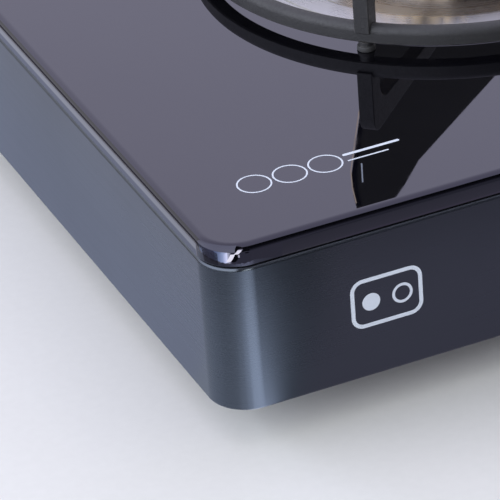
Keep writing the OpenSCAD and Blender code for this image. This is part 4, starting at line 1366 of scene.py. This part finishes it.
glassMark = {
    "start": 26 * mm, "row": 37 * mm, "ring": 6 * mm, "rings": 3, "gap": 1.6 * mm, "stroke": 0.6 * mm,
    "height": 0.04 * mm, "bars": [(2.2 * mm, 22 * mm, 1.4 * mm), (-2.2 * mm, 15.84 * mm, 0.7 * mm)],
}
panelMark = {
    "centre": 63 * mm, "width": 26 * mm, "depth": 18 * mm, "corner": 4 * mm, "stroke": 1.5 * mm,
    "burner": 3.4 * mm, "height": 0.05 * mm, "arc": 26.2 * mm, "arcWidth": 1.5 * mm, "arcSteps": 60,
    "dot": 1.3 * mm, "dotGap": 1.2 * mm, "fullReach": 33.5 * mm, "fullSize": 4.6 * mm,
    "lowReach": 30.2 * mm, "lowSize": 2.1 * mm, "lowTurn": 300,
}


def stroke(bm, line, width, height, closed=False):
    # a raised strip of even width along a line; width may be a list that tapers it
    points = [Vector(p) for p in line]
    count = len(points)
    rings = []
    for i, point in enumerate(points):
        ahead = points[(i + 1) % count] if closed else points[min(i + 1, count - 1)]
        back = points[i - 1] if closed or i else points[0]
        along = (ahead - back).normalized()
        wide = width[i] if isinstance(width, list) else width
        across = Vector((-along.y, along.x)) * wide / 2
        near, far = point - across, point + across
        section = [(far, 0), (near, 0), (near, height), (far, height)]
        rings.append([bm.verts.new((p.x, p.y, z)) for p, z in section])
    capRings(bm, rings, closed)


def circleAt(x, y, radius, steps=48):
    return arcPoints((x, y), radius, 0, 360, steps)[:-1]


def flame(centre, size):
    # a leaning drop
    drop = []
    for k in range(40):
        turn = 2 * pi * k / 40
        wide = sin(turn) * (1 - 0.42 * cos(turn)) * 0.55
        drop.append((centre[0] + size * (wide + 0.14 * cos(turn) ** 3), centre[1] + size * cos(turn)))
    return drop


def makeGlassMark(mark):
    bm = bmesh.new()
    across = 2 * mark["ring"] + mark["gap"]
    for k in range(mark["rings"]):
        circle = circleAt(mark["start"] + mark["ring"] + k * across, mark["row"], mark["ring"])
        stroke(bm, circle, mark["stroke"], mark["height"], True)
    start = mark["start"] + mark["rings"] * across
    for up, length, wide in mark["bars"]:
        filled(bm, barOutline(start, start + length, mark["row"] + up, wide), mark["height"])
    bm.transform(Matrix.Translation(corner))
    return finishMesh(bm, "glass mark")


def makePanelMarks(side, mark):
    # which burner the knob serves, the round of the knob from full to low, and two flames
    low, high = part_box("casing")
    knobX, row = middle(side + "_bezel").x, middle(side + "_bezel").z
    height, line = mark["height"], mark["stroke"]
    way = -1 if side == "left" else 1
    bm = bmesh.new()
    x = way * (high.x - mark["centre"])
    w, d, bend = mark["width"] / 2, mark["depth"] / 2, mark["corner"]
    surround = filleted(
        [(x - w, row - d, bend), (x + w, row - d, bend), (x + w, row + d, bend), (x - w, row + d, bend)],
        closed=True, steps=8)
    stroke(bm, surround, line, height, True)
    for spot in (-1, 1):
        circle = circleAt(x + spot * w * 0.46, row, mark["burner"], 40)
        if spot == way:
            filled(bm, circle, height)
        else:
            stroke(bm, circle, line * 0.7, height, True)
    steps = mark["arcSteps"]
    arc = arcPoints((knobX, row), mark["arc"] + mark["arcWidth"] / 2, 180, mark["lowTurn"], steps)
    stroke(bm, arc, [mark["arcWidth"] * (1 - 0.75 * k / steps) for k in range(steps + 1)], height)
    filled(bm, circleAt(knobX, row + mark["arc"] + mark["dotGap"], mark["dot"], 24), height)
    filled(bm, flame((knobX - mark["fullReach"], row), mark["fullSize"]), height)
    turn, reach = radians(mark["lowTurn"]), mark["lowReach"]
    filled(bm, flame((knobX + reach * cos(turn), row + reach * sin(turn)), mark["lowSize"]), height)
    bm.transform(Matrix.Translation((0, low.y, 0)) @ toFront)
    return finishMesh(bm, side + " panel mark")


addPiece("glass_mark", makeGlassMark(glassMark), "housing", "enamel", material=glassPrint)
for side in sides:
    addPiece(side + "_panel_mark", makePanelMarks(side, panelMark), "housing", "enamel", material=panelPrint)
print("marks")

# ---- Parts inside, which keep their CAD solids ----

slotOf = {row["node"]: row["material_slot"] for row in frame["record"]["subparts"]}
insideKinds = (
    "bracket", "mixing_tube", "jet", "valve_body", "valve_bonnet", "valve_clamp", "valve_plug", "spindle")
inside = ["base_plate", "glass_seal", "gas_rail", "rail_end_plug", "rail_clips"]
inside += [side + "_" + kind for side in sides for kind in insideKinds]
for node in inside:
    for slot in frame["nodes"][node].material_slots:
        slot.material = finishes[slotOf[node]]
for side in sides:
    # the return spring shortens by the knob's push; here it is a copy of its CAD solid, with a mesh of its
    # own, carried on the plug
    node = side + "_valve_spring"
    low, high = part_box(node)
    spring = addPiece(side + "_return_spring", cadCopy(node), side + "_plug", "spring_steel", node)
    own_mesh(spring)
print("inside parts:", len(inside))
